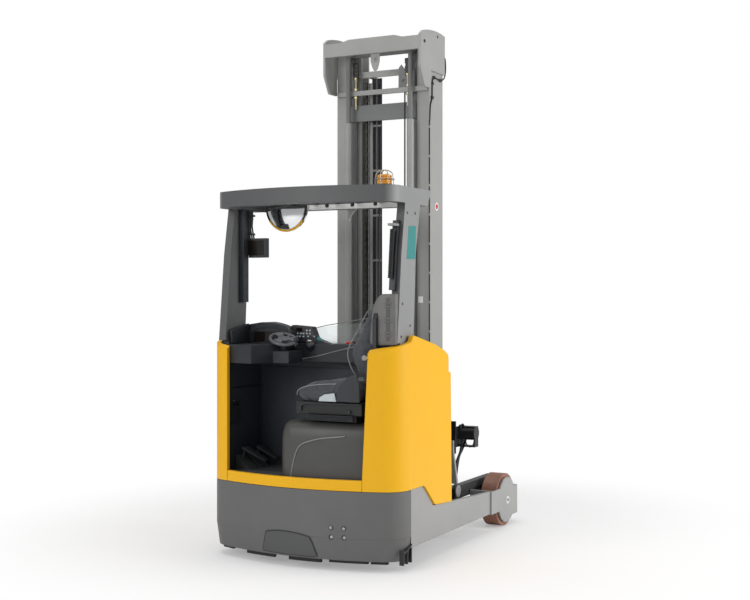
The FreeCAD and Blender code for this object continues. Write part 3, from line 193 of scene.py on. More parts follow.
# Mixes the painted shade grey into every face that doesn't look outwards.
painted_shade_mix = add(tree, "Mix", {"data_type": "RGBA"}, n0=cover.outputs["Result"],
               n6=linear("#555657"), n7=painted)
wire(tree, shader, Base_Color=painted_shade_mix.outputs[2])
strip_coat = coated("pale_powder_coat", "#E2E2E0", 0.5, 0.2)
mast_coat = coated("mast_grey_enamel", "#9C9C9A", 0.46, 0.2, radius_mm=3.0)
channel_coat = coated("deep_grey_enamel", "#757676", 0.5, 0.2, radius_mm=3.0)
black_coat = coated("black_chassis_enamel", "#1B1C1D", 0.42, 0.2, radius_mm=3.0)
flap_coat = coated("flap_grey_coat", "#525353", 0.5, 0.3, 1.6)
rail_coat = coated("rail_black_enamel", "#3A3B3C", 0.4, 0.2, radius_mm=3.0)
battery_coat = coated("battery_trough_coat", "#2E2F31", 0.5, 0.3, 1.6)
print("powder coats", len(bpy.data.materials))

# %% [markdown]
# ## Bare and plated metals
# Turned steel keeps fine rings from the tool, about a quarter of a millimetre apart. They
# are too fine to show here, so they are drawn two millimetres apart. A wave texture repeats
# every WAVE units, so the scale is divided by it. A metal needs no set IOR: its colour does
# the work.

# %% Metals
def turned_metal(name, code, roughness, ring_mm=2.0):
    """Machined metal with rings in its roughness and bump."""
    material, tree, shader, place = blank(name)
    wire(tree, shader, Base_Color=linear(code), Metallic=1.0)
    rings = add(tree, "TexWave", {"wave_type": "RINGS", "rings_direction": "SPHERICAL"},
                Vector=place, Scale=1 / (ring_mm * MM) / WAVE, Distortion=2.0, Detail=2.0)
    surface(tree, shader, gloss=(rings.outputs["Fac"], roughness - 0.06, roughness + 0.1),
            bump=(rings.outputs["Fac"], 0.15, 0.0002, 0))
    return material


machined_steel = turned_metal("machined_steel", "#B4B4B2", 0.34)
zinc_plate = turned_metal("zinc_plated_steel", "#A9A9A5", 0.42)
yellow_zinc = turned_metal("yellow_passivated_zinc", "#D6CBA2", 0.42)
chain_steel = turned_metal("oiled_chain_steel", "#3B3A38", 0.4)
print("metals ready")

# %% [markdown]
# ## Rubber, polyurethane, plastics
# The drive tyre is carbon-black rubber. The load wheels carry cast polyurethane, a warm
# red-brown that scuffs lighter where it rolls. Cab mouldings are ABS with a leather-like
# spark-eroded grain: cells of a millimetre or so, drawn at two to show. Plastics differ
# from rubber in the sharper gloss, so roughness is what separates them.

# %% Plastics and rubbers
def moulded(name, code, roughness, cell_mm=2.0, grain=0.25, mottling=0.12, ior=1.5,
            radius_mm=4.0):
    """A moulded surface with cell grain, slight mottling and softened corners."""
    material, tree, shader, place = blank(name)
    patches = add(tree, "TexNoise", Vector=place, Scale=14.0, Detail=4.0)
    cells = add(tree, "TexVoronoi", {"feature": "SMOOTH_F1"}, Vector=place,
                Scale=1 / (cell_mm * MM))
    surface(tree, shader, (patches.outputs["Fac"], code, 1 - mottling, 1 + mottling, 0.3, 0.7),
            (patches.outputs["Fac"], roughness - 0.05, roughness + 0.07),
            (cells.outputs["Distance"], grain, 0.0005, radius_mm))
    wire(tree, shader, IOR=ior)
    return material


black_abs = moulded("black_grained_abs", "#212429", 0.42)
wheel_abs = moulded("steering_wheel_grey_abs", "#5A5C60", 0.4)
guard_abs = moulded("guard_grey_abs", "#6A6968", 0.5, radius_mm=5.0)
lining_abs = moulded("cab_lining_abs", "#2F333B", 0.5)
pedestal_abs = moulded("grey_moulded_abs", "#464644", 0.42, 1.6, 0.12, 0.03, radius_mm=10.0)
shell_abs = moulded("seat_shell_polypropylene", "#8B8C8C", 0.5, radius_mm=5.0)
tyre_rubber = moulded("carbon_black_rubber", "#1B1B1B", 0.75, 3.0, 0.4, ior=1.52)
mat_rubber = moulded("floor_mat_rubber", "#3B3D3F", 0.72, 3.0, 0.4, ior=1.52, radius_mm=2.0)
pedal_rubber = moulded("pedal_rubber", "#3C3E41", 0.62, 3.0, 0.3, ior=1.52, radius_mm=1.0)
bellows_rubber = moulded("bellows_rubber", "#191A1B", 0.6, 2.0, 0.2, ior=1.52)
polyurethane = moulded("cast_polyurethane", "#8C5F4B", 0.42, 4.0, 0.15, 0.2)
cast_iron = moulded("painted_casting", "#3C3D3E", 0.6, 3.0, 0.5)
label_white = moulded("white_vinyl_label", "#E8E8E4", 0.35, 1.0, 0.03, 0.02, radius_mm=0.5)
label_teal = moulded("teal_vinyl_label", "#2C8683", 0.4, 1.0, 0.03, 0.02, radius_mm=0.5)
label_red = moulded("red_vinyl_label", "#B4262B", 0.4, 1.0, 0.03, 0.02, radius_mm=0.5)
knob_red = moulded("red_button_plastic", "#C0281F", 0.3, 1.0, 0.05)
key_grey = moulded("light_key_plastic", "#B9C2C4", 0.4, 1.0, 0.05)
print("plastics ready")

# %% [markdown]
# ## Fabric
# The seat is covered in a woven polyester. A weave is two sets of threads at right angles:
# waves along each axis, added together, give the crossings. The threads lie half a
# millimetre apart, too fine to see on a whole truck, so they are drawn at three millimetres,
# and a soft sheen stands for the fibre ends.

# %% Fabric and clear materials
def woven(name, code, thread_mm=3.0):
    """Woven cover cloth with a thread grid and sheen."""
    material, tree, shader, place = blank(name)
    count = 1 / (thread_mm * MM) / WAVE
    warp, weft, rise = (add(tree, "TexWave", {"bands_direction": axis}, Vector=place,
                            Scale=count).outputs["Fac"] for axis in "XYZ")
    flat = add(tree, "Math", {"operation": "ADD"}, n0=warp, n1=weft)
    grid = add(tree, "Math", {"operation": "ADD"}, n0=flat.outputs[0], n1=rise)
    surface(tree, shader, (grid.outputs[0], code, 0.75, 1.2, 0.0, 3.0),
            bump=(grid.outputs[0], 0.35, 0.0006, 0))
    wire(tree, shader, Roughness=0.85, Sheen_Weight=0.25, Sheen_Roughness=0.4)
    return material


def clear(name, code, roughness, ior, through=1.0):
    """Clear or tinted plastic: light passes, and the tint is in its base colour."""
    material, tree, shader, place = blank(name)
    wire(tree, shader, Base_Color=linear(code), Transmission_Weight=through, IOR=ior)
    haze = add(tree, "TexNoise", Vector=place, Scale=30.0, Detail=4.0)
    surface(tree, shader, gloss=(haze.outputs["Fac"], roughness, roughness + 0.06))
    return material


seat_cloth = woven("woven_seat_cloth", "#45484D")
wing_vinyl = moulded("seat_wing_vinyl", "#27292D", 0.45, 2.0, 0.2)
piping_vinyl = moulded("piping_vinyl", "#7E8082", 0.4, 1.0, 0.08, 0.05, radius_mm=1.0)
screen_clear = clear("clear_polycarbonate", "#EDF2F2", 0.02, 1.585)
amber_clear = clear("amber_lens", "#FFB02E", 0.12, 1.5, 0.25)
print("cloth and clear plastics ready")

# %% [markdown]
# ## The wide-angle mirror and the displays
# A convex mirror is silvered glass or acrylic: fully metallic, nearly smooth. A display that
# is switched off is dark glass.

# %% Mirror and display
mirror_silver, tree, shader, place = blank("silvered_acrylic")
wire(tree, shader, Base_Color=linear("#E4E6E8"), Metallic=1.0)
smear = add(tree, "TexNoise", Vector=place, Scale=22.0, Detail=4.0)
surface(tree, shader, gloss=(smear.outputs["Fac"], 0.02, 0.09))
display_glass = moulded("dark_display_glass", "#17110E", 0.12, 1.0, 0.0, 0.1, 1.52, 1.0)
print("materials", len(bpy.data.materials))

# %% [markdown]
# ## Dressing the CAD solids
# Each CAD solid keeps its shape and gets the finish of the real one.

# %% Assign finishes
finishes = {
    yellow_coat: ["side_panel_left", "side_panel_right", "rear_sill"],
    skirt_coat_painted_shade: ["rear_skirt"],
    leg_coat: ["leg_left", "leg_right"],
    guard_coat: ["roof_grille", "battery_cover", "chassis_frame"],
    pillar_coat: ["pillar_left", "pillar_right", "guard_roof"],
    mast_coat: ["mast_outer", "mast_head", "reach_carriage", "mast_inner", "lift_cylinders"],
    channel_coat: ["mast_middle"],
    black_coat: ["fork_carriage", "tilt_frame", "fork_bars", "fork_left", "fork_right",
                 "reach_cylinder", "hose_guide"],
    rail_coat: ["reach_rails"],
    battery_coat: ["battery"],
    machined_steel: ["drive_hub", "load_hub_left", "load_hub_right", "load_axles"],
    tyre_rubber: ["drive_tyre"],
    polyurethane: ["load_tyre_left", "load_tyre_right"],
    cast_iron: ["drive_motor", "drive_gearbox"],
    black_abs: ["dash_console", "instrument_hood", "control_panel", "monitor",
                "cable_channel", "pillar_conduit", "seat_back_shell"],
    lining_abs: ["cab_lining"],
    wheel_abs: ["steering_wheel"],
    pedestal_abs: ["seat_pedestal"],
    mat_rubber: ["cab_floor", "pedals"],
    bellows_rubber: ["seat_suspension"],
    seat_cloth: ["seat_cushion", "seat_backrest"],
    screen_clear: ["protective_screen"],
    mirror_silver: ["mirror"],
    amber_clear: ["beacon"],
}
for material, names in finishes.items():
    for name in names:
        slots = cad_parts[name].data.materials
        slots.clear()
        slots.append(material)
print("dressed", sum(map(len, finishes.values())), "of", len(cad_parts))

# %% [markdown]
# ## Building the small parts
# Bolts, hoses, labels and trim are too fine for the CAD model, so they are built here. Four
# shapes cover nearly all of them: a block, a plate cut to an outline, a turned part and a
# hose along a path. Each is a stack of rings skinned with quads, so one function does the
# work. The shapes gather in one draft mesh until a call lifts them off as a named piece.
# Rims get a real bevel, because a sharp edge never catches light as metal does.

# %% Skins, blocks, plates, turned parts and hoses
scene = bpy.context.scene
draft = bmesh.new()


def skin(rings, loop=False):
    """Joins a stack of equal rings with quads; loop joins the last ring to the first."""
    rows = [[draft.verts.new(point) for point in ring] for ring in rings]
    for low, high in zip(rows, rows[1:] + ([rows[0]] if loop else [])):
        for i, corner in enumerate(low):
            j = (i + 1) % len(low)
            draft.faces.new((corner, low[j], high[j], high[i]))
    if not loop:
        draft.faces.new(rows[0])
        draft.faces.new(rows[-1])


def block(low, high):
    """A box between two corners, each (station, side, height) in millimetres."""
    (a, b, c), (d, e, f) = low, high
    skin([[at(a, b, z), at(d, b, z), at(d, e, z), at(a, e, z)] for z in (c, f)])


def plate(outline, depth):
    """A plate cut to an outline of (station, side, height) points, depth across it."""
    across = Vector(depth) * MM
    first = [at(*point) for point in outline]
    skin([first, [point + across for point in first]])


def turned(start, direction, profile, sides=24):
    """A turned part: profile lists (distance along the direction, radius)."""
    along = Vector(direction).normalized()
    right = along.orthogonal().normalized()
    up = along.cross(right)
    rings = []
    for reach, radius in profile:
        middle = at(*start) + along * (reach * MM)
        rings.append([middle + (right * math.cos(t) + up * math.sin(t)) * (max(radius, 0.05) * MM)
                      for t in circle(sides)])
    skin(rings)


def smooth_path(points, steps=6, loop=False):
    """Points on a Catmull-Rom curve through the given ones."""
    spots = [Vector(p) for p in points]
    count = len(spots)
    path = []
    for i in range(count if loop else count - 1):
        pick = [spots[(i + k) % count] if loop else spots[min(max(i + k, 0), count - 1)]
                for k in (-1, 0, 1, 2)]
        for s in range(steps):
            t = s / steps
            path.append(0.5 * (2 * pick[1] + (pick[2] - pick[0]) * t
                               + (2 * pick[0] - 5 * pick[1] + 4 * pick[2] - pick[3]) * t * t
                               + (3 * pick[1] - pick[0] - 3 * pick[2] + pick[3]) * t ** 3))
    return path if loop else path + [spots[-1]]


def hose(points, radius, sides=10, loop=False, steps=6):
    """A round hose along a smooth path of (station, side, height) points."""
    path = [at(*p) for p in smooth_path(points, steps, loop)]
    count = len(path)
    previous = None
    rings = []
    for i, spot in enumerate(path):
        ahead = path[(i + 1) % count] if loop or i + 1 < count else spot
        behind = path[i - 1] if loop or i > 0 else spot
        along = (ahead - behind).normalized()
        right = along.orthogonal() if previous is None else previous - along * previous.dot(along)
        right.normalize()
        previous = right
        up = along.cross(right)
        rings.append([spot + (right * math.cos(t) + up * math.sin(t)) * (radius * MM)
                      for t in circle(sides)])
    skin(rings, loop)


def lift_off(name):
    """Moves everything in the draft into a new object."""
    bmesh.ops.recalc_face_normals(draft, faces=draft.faces[:])
    data = bpy.data.meshes.new(name)
    draft.to_mesh(data)
    draft.clear()
    thing = bpy.data.objects.new(name, data)
    scene.collection.objects.link(thing)
    return thing


def round_rims(thing, width_mm, segments):
    """Bevels the edges that turn by more than 40 degrees."""
    rim = thing.modifiers.new("rim", "BEVEL")
    rim.width, rim.segments = width_mm * MM, segments
    rim.limit_method, rim.angle_limit = "ANGLE", math.radians(40)
    rim.harden_normals = True


def piece(name, material, edge_mm=0, body="chassis"):
    """Lifts the draft off as a named piece with bevelled rims that rides on a body."""
    thing = lift_off(name)
    thing.data.materials.append(material)
    thing.data.shade_smooth()
    thing.data.set_sharp_from_angle(angle=math.radians(35))
    if edge_mm:
        round_rims(thing, edge_mm, 2)
    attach(thing, body)
    return thing


print("helpers ready")

# %% [markdown]
# ## The skirt's access flap
# The heavy grey skirt is a casting that also weighs the truck down. A flap in its foot opens
# to the drive wheel. It follows the bowed rear face, which is an arc through the rear
# corners, so a function gives that arc's station at any distance from the middle.

# %% The bowed rear face
BOW = 133.0
HALF = 645.0
CREASE = 190.0
STEP = 1.5
DRAW_IN = 0.105


def bow(side, inset=0.0):
    """The station of the bowed rear face at a side distance, inset towards the front."""
    radius = (HALF ** 2 + BOW ** 2) / (2 * BOW)
    return radius - BOW - math.sqrt((radius - inset) ** 2 - side ** 2)


def skirt_face(side, height):
    """The station of the skirt's outside, which draws in below the crease."""
    return bow(side, STEP + (CREASE - height) * DRAW_IN if height < CREASE else 0.0)


def curved_plate(columns, proud, deep):
    """A plate on the skirt from columns of (side, low, high), proud of it and deep into it."""
    rings = []
    for (y0, low0, high0), (y1, low1, high1) in zip(columns, columns[1:]):
        for s in range(4):
            t = s / 4
            y, low, high = (a + (b - a) * t for a, b in ((y0, y1), (low0, low1), (high0, high1)))
            rings.append((y, low, high))
    rings.append(columns[-1])
    skin([[at(skirt_face(y, z) + out, y, z)
           for z, out in ((low, -proud), ((low + high) / 2, -proud), (high, -proud), (high, deep),
                          (low, deep))] for y, low, high in rings])


FLAP = [(203, 80, 84), (196, 79, 110), (184, 78, 160), (175, 78, 187), (162, 77, 194),
        (122, 76, 200), (75, 75, 204), (30, 74, 204), (-50, 73, 197), (-100, 73, 187),
        (-115, 74, 181), (-128, 75, 160), (-142, 76, 120), (-156, 77, 81)]
curved_plate([(y * 1.045 - 1 if y > 0 else y * 1.05, low - 6, high + 7)
              for y, low, high in FLAP], 0.8, 6)
piece("skirt_flap_seam", mat_rubber)
curved_plate(FLAP, 5, 6)
piece("skirt_flap", flap_coat, 1.5)
print("flap done")

# %% [markdown]
# ## Bolts and rub strips on the skirt
# Four dome-headed bolts hold a step behind the skirt, each with a painted shadow under it, a dark
# disc a little wider than its head and set a millimetre down and aside, and strips of black rubber
# hang under its rim.

# %% Bolts and rub strips
DOME = [(-4, 10), (1.5, 10.5), (4, 9.2), (6, 6.5), (7, 3), (7.2, 0)]
for y, z in ((-250, 247), (-326, 245), (-255, 195), (-330, 194)):
    turned((skirt_face(y, z), y, z), (-1, y / 1500, 0), DOME)
piece("skirt_bolts", zinc_plate)
# A dark disc behind each bolt is its painted shadow.
for y in (-250, -326):
    for z in (247, 195):
        turned((skirt_face(y, z), y - 1, z - 1), (-1, y / 1500, 0), [(-2, 14), (0.8, 14)])
piece("skirt_bolt_painted_shadows", black_coat)
for start, end, low in ((545, 450, 50), (340, 127, 42), (30, -179, 40), (-228, -453, 46),
                        (-469, -560, 46)):
    sides = [start + (end - start) * i / 8 for i in range(9)]
    skin([[at(bow(y, 16.0) + a, y, z) for a, z in ((3, low), (24, low), (24, 62), (3, 62))]
          for y in sides])
piece("skirt_rub_strips", tyre_rubber, 2)
print("skirt trim done")

# %% [markdown]
# ## The tie-down bracket
# A black slotted bracket at the skirt's right front corner takes a lashing strap. A dark seam
# parts the skirt from each leg.

# %% Tie-down bracket
for station in (10, 62, 112):
    block((station, -HALF - 5, 44), (station + 12, -HALF + 22, 130))
plate(on_y(-HALF - 5, (2, 96), (124, 138), (124, 150), (2, 110)), (0, 20, 0))
piece("tie_down_bracket", black_coat, 1.5)
for side in (-1, 1):
    plate(on_y(side * (HALF - 0.6), (120.2, 64), (121.8, 64), (121.8, 455), (120.2, 455)),
          (0, -side * 20, 0))
piece("skirt_leg_seams", tyre_rubber)
print("tie-down bracket done")

# %% [markdown]
# ## Chains and rods on the mast
# A leaf chain is a stack of flat links on pins, and its shape is what tells it from a cable:
# so each link is a separate little plate. The two lifting chains hang from threaded rods
# through the bar at the mast's top, and a third runs up beside the free lift cylinder.

# %% Leaf chains and their anchor rods
def leaf_chain(station, side, low, high, wide, link=26):
    """A chain of alternating wide and narrow links, hung straight down."""
    for i in range(int((high - low) / link)):
        z = low + i * link
        half = wide / 2 if i % 2 else wide / 2 - 4
        outline = on_y(side - half, (station - 6, z - 3), (station + 6, z - 3),
                       (station + 8, z + link / 2), (station + 6, z + link + 3),
                       (station - 6, z + link + 3), (station - 8, z + link / 2))
        plate(outline, (0, 2 * half, 0))
        turned((station, side - wide / 2 - 2, z), (0, 1, 0), [(0, 4), (wide + 4, 4)], 8)


for side in (-192, 192):
    leaf_chain(1028, side, 3020, 3142, 38)
piece("mast_lift_chains", chain_steel, 0, "reach_carriage")
leaf_chain(1098, 146, 712, 3020, 16)
piece("mast_free_lift_chain", chain_steel, 0, "mast_inner")
for side in (-192, 192):
    turned((1029, side, 2815), UP,
           [(0, 5), (1, 6), (180, 6), (182, 7), (196, 9), (200, 14), (212, 14), (213, 9)], 16)
    for z in (2886, 2939):
        turned((1029, side, z), UP, [(0, 12), (2, 14), (14, 14), (16, 12)], 6)
piece("mast_chain_anchor_rods", yellow_zinc, 0.5, "reach_carriage")
print("chains done")

# %% [markdown]
# ## Hoses up the middle of the mast
# Four hoses and a thin pipe run up the inner stage between clips, and one more hose stays
# with the fixed mast.

# %% Hoses, pipe and clips
for side, radius in ((94, 7), (77, 7), (57, 8), (39, 8)):
    hose(on_x(1096, (side, 704), (side, 1900), (side, 3024)), radius, steps=12)
piece("mast_hoses", bellows_rubber, 0, "mast_inner")
hose([(1092, 67, 704), (1092, 67, 3026)], 4, steps=8)
for z in range(900, 3000, 300):
    block((1086, 32, z), (1090, 102, z + 14))
piece("mast_hose_pipe_and_clips", channel_coat, 0.5, "mast_inner")
hose(on_x(1008, (-180, 640), (-180, 1800), (-180, 2902)), 5, steps=10)
piece("mast_static_hose", bellows_rubber, 0, "reach_carriage")
print("mast hoses done")

# %% [markdown]
# ## Brackets at the mast's head
# Behind the bowed bar hang a pulley plate for the hoses and a dark guard plate for the right
# chain. A cable comes round the right cheek, is clipped below it, and runs down the corner of
# the fixed channel under small clips.

# %% Pulley plate, guard plate and the sensor cable
plate(on_x(891, (-55, 3160), (13, 3160), (13, 3100), (2, 3062), (-12, 3036), (-26, 3032),
           (-40, 3050), (-52, 3092)), (6, 0, 0))
turned((890, -22, 3112), (1, 0, 0), [(-4, 13), (-3, 15), (2, 15)], 24)
piece("mast_hose_pulley_plate", mast_coat, 1, "reach_carriage")
plate(on_x(1038, (-120, 3070), (-140, 3092), (-150, 3078), (-168, 3056), (-200, 3044),
           (-240, 3056), (-240, 2938), (-118, 2938)), (4, 0, 0))
turned((1037, -150, 2990), (-1, 0, 0), [(-2, 11), (5, 11), (6, 8), (6, 0)], 6)
turned((886, -22, 3112), (-1, 0, 0), [(-2, 8), (1, 8), (2, 6), (2, 0)], 6)
piece("mast_chain_guard_plate", channel_coat, 1, "reach_carriage")
hose([(1258, -356, 3150), (1264, -357, 3120), (1265, -357, 3060), (1250, -352, 3015),
      (1204, -348, 2994), (1120, -348, 2996), (1080, -346, 2975), (1075, -345, 2864),
      (1050, -345, 2810), (1040, -345, 2714), (1036, -344, 2600), (1036, -344, 1600),
      (1036, -344, 700)], 4.5)
for station, z in ((1204, 2994), (1105, 2998), (1077, 2956), (1077, 2864)):
    block((station - 12, -352, z - 9), (station + 12, -339, z + 9))
piece("mast_sensor_cable", bellows_rubber, 0, "reach_carriage")
for z in range(760, 2700, 190):
    block((1031, -350, z), (1046, -339, z + 16))
piece("mast_cable_clips", mast_coat, 1, "reach_carriage")
for side in (-1, 1):
    turned((1139, side * 355, 3270), (0, side, 0), [(0, 9), (2.2, 9), (2.4, 7), (2.4, 0)], 20)
    turned((930, side * 355, 3205), (0, side, 0), [(0, 11), (5, 11), (7, 9), (7, 0)], 6)
piece("mast_head_bolts", black_coat, 0, "reach_carriage")
print("mast head done")

# %% [markdown]
# ## Blank labels on the mast
# Where a truck carries a name or a warning, a plain sticker of the same size and colour
# stands here. It is a tenth of a millimetre thick in life and about one in this model.

# %% Blank labels
plate(on_x(1039, (-262, 1524), (-296, 1524), (-296, 1566), (-262, 1566)), (1.5, 0, 0))
turned((1160, -340, 2157), (0, -1, 0), [(-0.5, 26), (0.8, 26)], 28)
piece("mast_labels_white", label_white, 0, "reach_carriage")
turned((1160, -340.5, 2157), (0, -1, 0), [(-0.5, 17), (1.0, 17)], 28)
piece("mast_label_red", label_red, 0, "reach_carriage")
print("mast trim done")

# %% [markdown]
# ## The seat, sewn and stuffed
# A cushion is a bag of cloth over foam. It is modelled as a closed shape a little too small,
# remeshed evenly, then blown up as cloth: the pressure rounds the faces while the cloth's
# stretch holds the corners back, which gives the pulled-in look of real upholstery. It stays
# flat where it rests on the slide or the shell. The stitched channels are pressed in after,
# but not on faces that look along the channel's own axis, which MOST_ALONG tells.

# %% Cloth simulation of a pad
VOXEL_MM = 5.5
PRESSURE = 4.0
LAST_FRAME = 20
REST_GAP_MM = 1
MOST_ALONG = 0.6


def spots_of(data):
    """All vertex positions of a mesh as a list of vectors."""
    return [vertex.co.copy() for vertex in data.vertices]


def pad(name, rings, node, channels, cap_mm=22.0):
    """A stuffed pad that replaces a soft node; channels are (axis, middle, half width, depth)."""
    skin(rings)
    thing = lift_off(name)
    voxels = thing.modifiers.new("voxels", "REMESH")
    voxels.mode, voxels.voxel_size = "VOXEL", VOXEL_MM * MM
    thing.modifiers.new("even", "SMOOTH").iterations = 6
    graph = bpy.context.evaluated_depsgraph_get()
    thing.data = bpy.data.meshes.new_from_object(thing.evaluated_get(graph))
    thing.modifiers.clear()
    start = spots_of(thing.data)
    cloth = thing.modifiers.new("cloth", "CLOTH")
    cloth.settings.use_pressure = True
    cloth.settings.uniform_pressure_force = PRESSURE
    cloth.settings.effector_weights.gravity = 0.0
    cloth.point_cache.frame_start, cloth.point_cache.frame_end = 1, LAST_FRAME
    for frame_number in range(1, LAST_FRAME + 1):
        scene.frame_set(frame_number)
    graph = bpy.context.evaluated_depsgraph_get()
    blown = spots_of(thing.evaluated_get(graph).data)
    thing.modifiers.clear()
    scene.frame_set(1)
    for vertex, before, after in zip(thing.data.vertices, start, blown):
        move = after - before
        if move.length > cap_mm * MM:
            move.length = cap_mm * MM
        vertex.co = before + move
    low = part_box(node)[0]
    thing.data.update()
    pushes = [vertex.normal.copy() for vertex in thing.data.vertices]
    for vertex, push in zip(thing.data.vertices, pushes):
        for axis, middle, half, deep in channels:
            off = abs(vertex.co[axis] - middle) / (half * MM)
            if off < 1 and push[axis] ** 2 < MOST_ALONG:
                vertex.co -= push * (deep * MM * (1 - off * off))
        vertex.co.y = max(vertex.co.y, low.y + REST_GAP_MM * MM)
        vertex.co.z = max(vertex.co.z, low.z + REST_GAP_MM * MM)
    thing.data.materials.clear()
    thing.data.materials.append(seat_cloth)
    thing.data.shade_smooth()
    finer = thing.modifiers.new("finer", "SUBSURF")
    finer.levels = finer.render_levels = 1
    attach(thing, "chassis")
    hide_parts(node)
    print(name, len(thing.data.vertices), "vertices")


CUSHION = [(4, 1014), (0, 986), (-26, 966), (-200, 962), (-404, 964), (-406, 1010), (-400, 1056),
           (-300, 1062), (-164, 1057), (-86, 1048), (-26, 1036), (-4, 1028)]
rings = []
for station, pull in ((-76, 14), (-66, 5), (-20, 0), (60, 4), (135, 8), (210, 4), (290, 0),
                      (336, 5), (346, 14)):
    rings.append([at(station, y - pull * (y > -60) + pull * 0.4 * (y < -380),
                     z - pull * 0.8 if z > 1015 else z + pull * 0.2) for y, z in CUSHION])
pad("seat_cushion_cover", rings, "seat_cushion",
    [(0, SHIFT + 0.050, 7, 4), (0, SHIFT + 0.220, 7, 4)])
rings = []
for z, front, first, last in ((1072, -368, 40, 255), (1114, -358, 0, 296), (1181, -338, -16, 310),
                              (1233, -330, -18, 312), (1280, -338, -16, 310), (1370, -376, 0, 296),
                              (1450, -402, 28, 268), (1515, -425, 62, 234), (1544, -440, 88, 208)):
    side = (front - 462) / 2
    rings.append([at(s, y, z) for s, y in (
        (first, -460), (last, -460), (last, side), (last - 18, front), (last - 62, front),
        (last - 96, front - 26), (first + 96, front - 26), (first + 62, front),
        (first + 18, front), (first, side))])
pad("seat_backrest_cover", rings, "seat_backrest",
    [(0, SHIFT + 0.070, 8, 5), (0, SHIFT + 0.226, 8, 5), (2, 1.300, 8, 5)], 16.0)

# %% [markdown]
# ## The seat's trim
# Grey piping follows the seams of both pads, and its light grey along the cushion's top edge is
# partly a painted highlight. A patch, a wing and a knob cover the hinge of the backrest, and the
# shell behind it is ribbed.

# %% Piping, wing, slide and shell ribs
# The light piping along the cushion's top edge is partly a painted highlight on that edge.
hose([(-72, -3, 992), (-73, -9, 1018), (-73, -38, 1036), (-72, -86, 1048), (-72, -164, 1058),
      (-72, -262, 1063)], 2.6)
hose([(10, -362, 1094), (-14, -344, 1130), (-26, -324, 1181), (-28, -314, 1233), (-26, -324, 1280),
      (-8, -368, 1370), (24, -398, 1450), (60, -424, 1515)], 3.2)
piece("seat_piping_and_painted_highlight", piping_vinyl)
plate(on_x(-86, (-152, 962), (-160, 984), (-192, 1002), (-256, 1011), (-268, 962)), (8, 0, 0))
piece("seat_side_patch", key_grey, 2)
plate(on_x(-88, (-270, 962), (-270, 1014), (-280, 1046), (-336, 1098), (-378, 1118), (-404, 1112),
           (-416, 1060), (-418, 962)), (14, 0, 0))
piece("seat_hinge_cover", wing_vinyl, 5)
turned((-76, -446, 1216), (-1, 0.2, 0), [(-30, 15), (6, 15), (9, 12), (9, 8), (12, 7), (12, 0)])
piece("seat_recline_knob", zinc_plate)
for z in range(850, 884, 7):
    block((-78, -372, z), (-60, -72, z + 4))
plate(on_x(-72, (-15, 900), (-18, 938), (-60, 952), (-420, 952), (-420, 944), (-62, 942),
           (-30, 930), (-30, 900)), (10, 0, 0))
turned((-64, -345, 905), (-1, 0, 0), [(0, 9), (10, 9), (12, 6), (12, 0)], 16)
piece("seat_slide_trim", black_abs, 1)
for station in (20, 290):
    for z in range(1120, 1540, 60):
        block((station, -496, z), (station + 26, -490, z + 10))
for z in (1508, 1338, 1420):
    for step in (0, 14):
        plate(on_y(-494, (96, z - step), (188, z - step), (188, z + 6 - step), (96, z + 6 - step)),
              (0, 6, 0))
piece("seat_shell_ribs", black_abs, 2)
print("seat done")

# %% [markdown]
# ## The pedestal
# Its moulding is round all over, which the plain CAD solid leaves out, so a stack of rings
# rebuilds it with a soft shoulder. A raised line sweeps across the side that faces the step.
# The other mouldings only need their flat triangles merged and their corners rounded, which
# three modifiers do.

# %% Round the mouldings
for node, width_mm in (("seat_suspension", 8), ("dash_console", 9), ("monitor", 8),
                       ("battery", 10), ("control_panel", 7), ("rear_sill", 3)):
    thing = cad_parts[node]
    thing.modifiers.new("weld", "WELD").merge_threshold = 0.00005
    flat = thing.modifiers.new("flat", "DECIMATE")
    flat.decimate_type, flat.angle_limit = "DISSOLVE", math.radians(1)
    round_rims(thing, width_mm, 5)


LEFT, RIGHT, FRONT, REAR_INSET = 130, -540, 400, 45
ROUND, LEAST_ROUND = 92, 12


def pedestal_ring(inset, height):
    """One level of the pedestal: bowed at the rear, with two round corners on the left."""
    turn = max(ROUND - inset, LEAST_ROUND)
    left, front, right = LEFT - inset, FRONT - inset, RIGHT + inset
    ring = [at(bow(y, REAR_INSET + inset), y, height)
            for y in (right + (left - turn - right) * i / 14 for i in range(15))]
    corner = bow(left - turn, REAR_INSET + inset) + turn
    for middle, start in ((corner, math.pi), (front - turn, math.pi / 2)):
        for i in range(9):
            t = start - math.pi / 2 * i / 8
            ring.append(at(middle + turn * math.cos(t), left - turn + turn * math.sin(t), height))
    return ring + [at(front, right, height)]


skin([pedestal_ring(inset, z) for inset, z in ((0, 506), (1, 640), (3, 738), (6, 770), (12, 794),
                                              (22, 814), (35, 828), (52, 837), (74, 841))])
shell = piece("pedestal_shell", pedestal_abs)
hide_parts("seat_pedestal")
hose([(bow(y, 44), y, z)
      for y, z in ((30, 512), (26, 540), (12, 607), (-10, 672), (-42, 708), (-91, 728),
                   (-169, 747), (-312, 764))], 4)
piece("pedestal_feature_line", piping_vinyl)
print("pedestal done")

# %% [markdown]
# ## Controls
# A hood shades the main display. The keypad has a small screen and three rows of light
# keys, and to its right are a travel knob, a sloping armrest and a red emergency button.

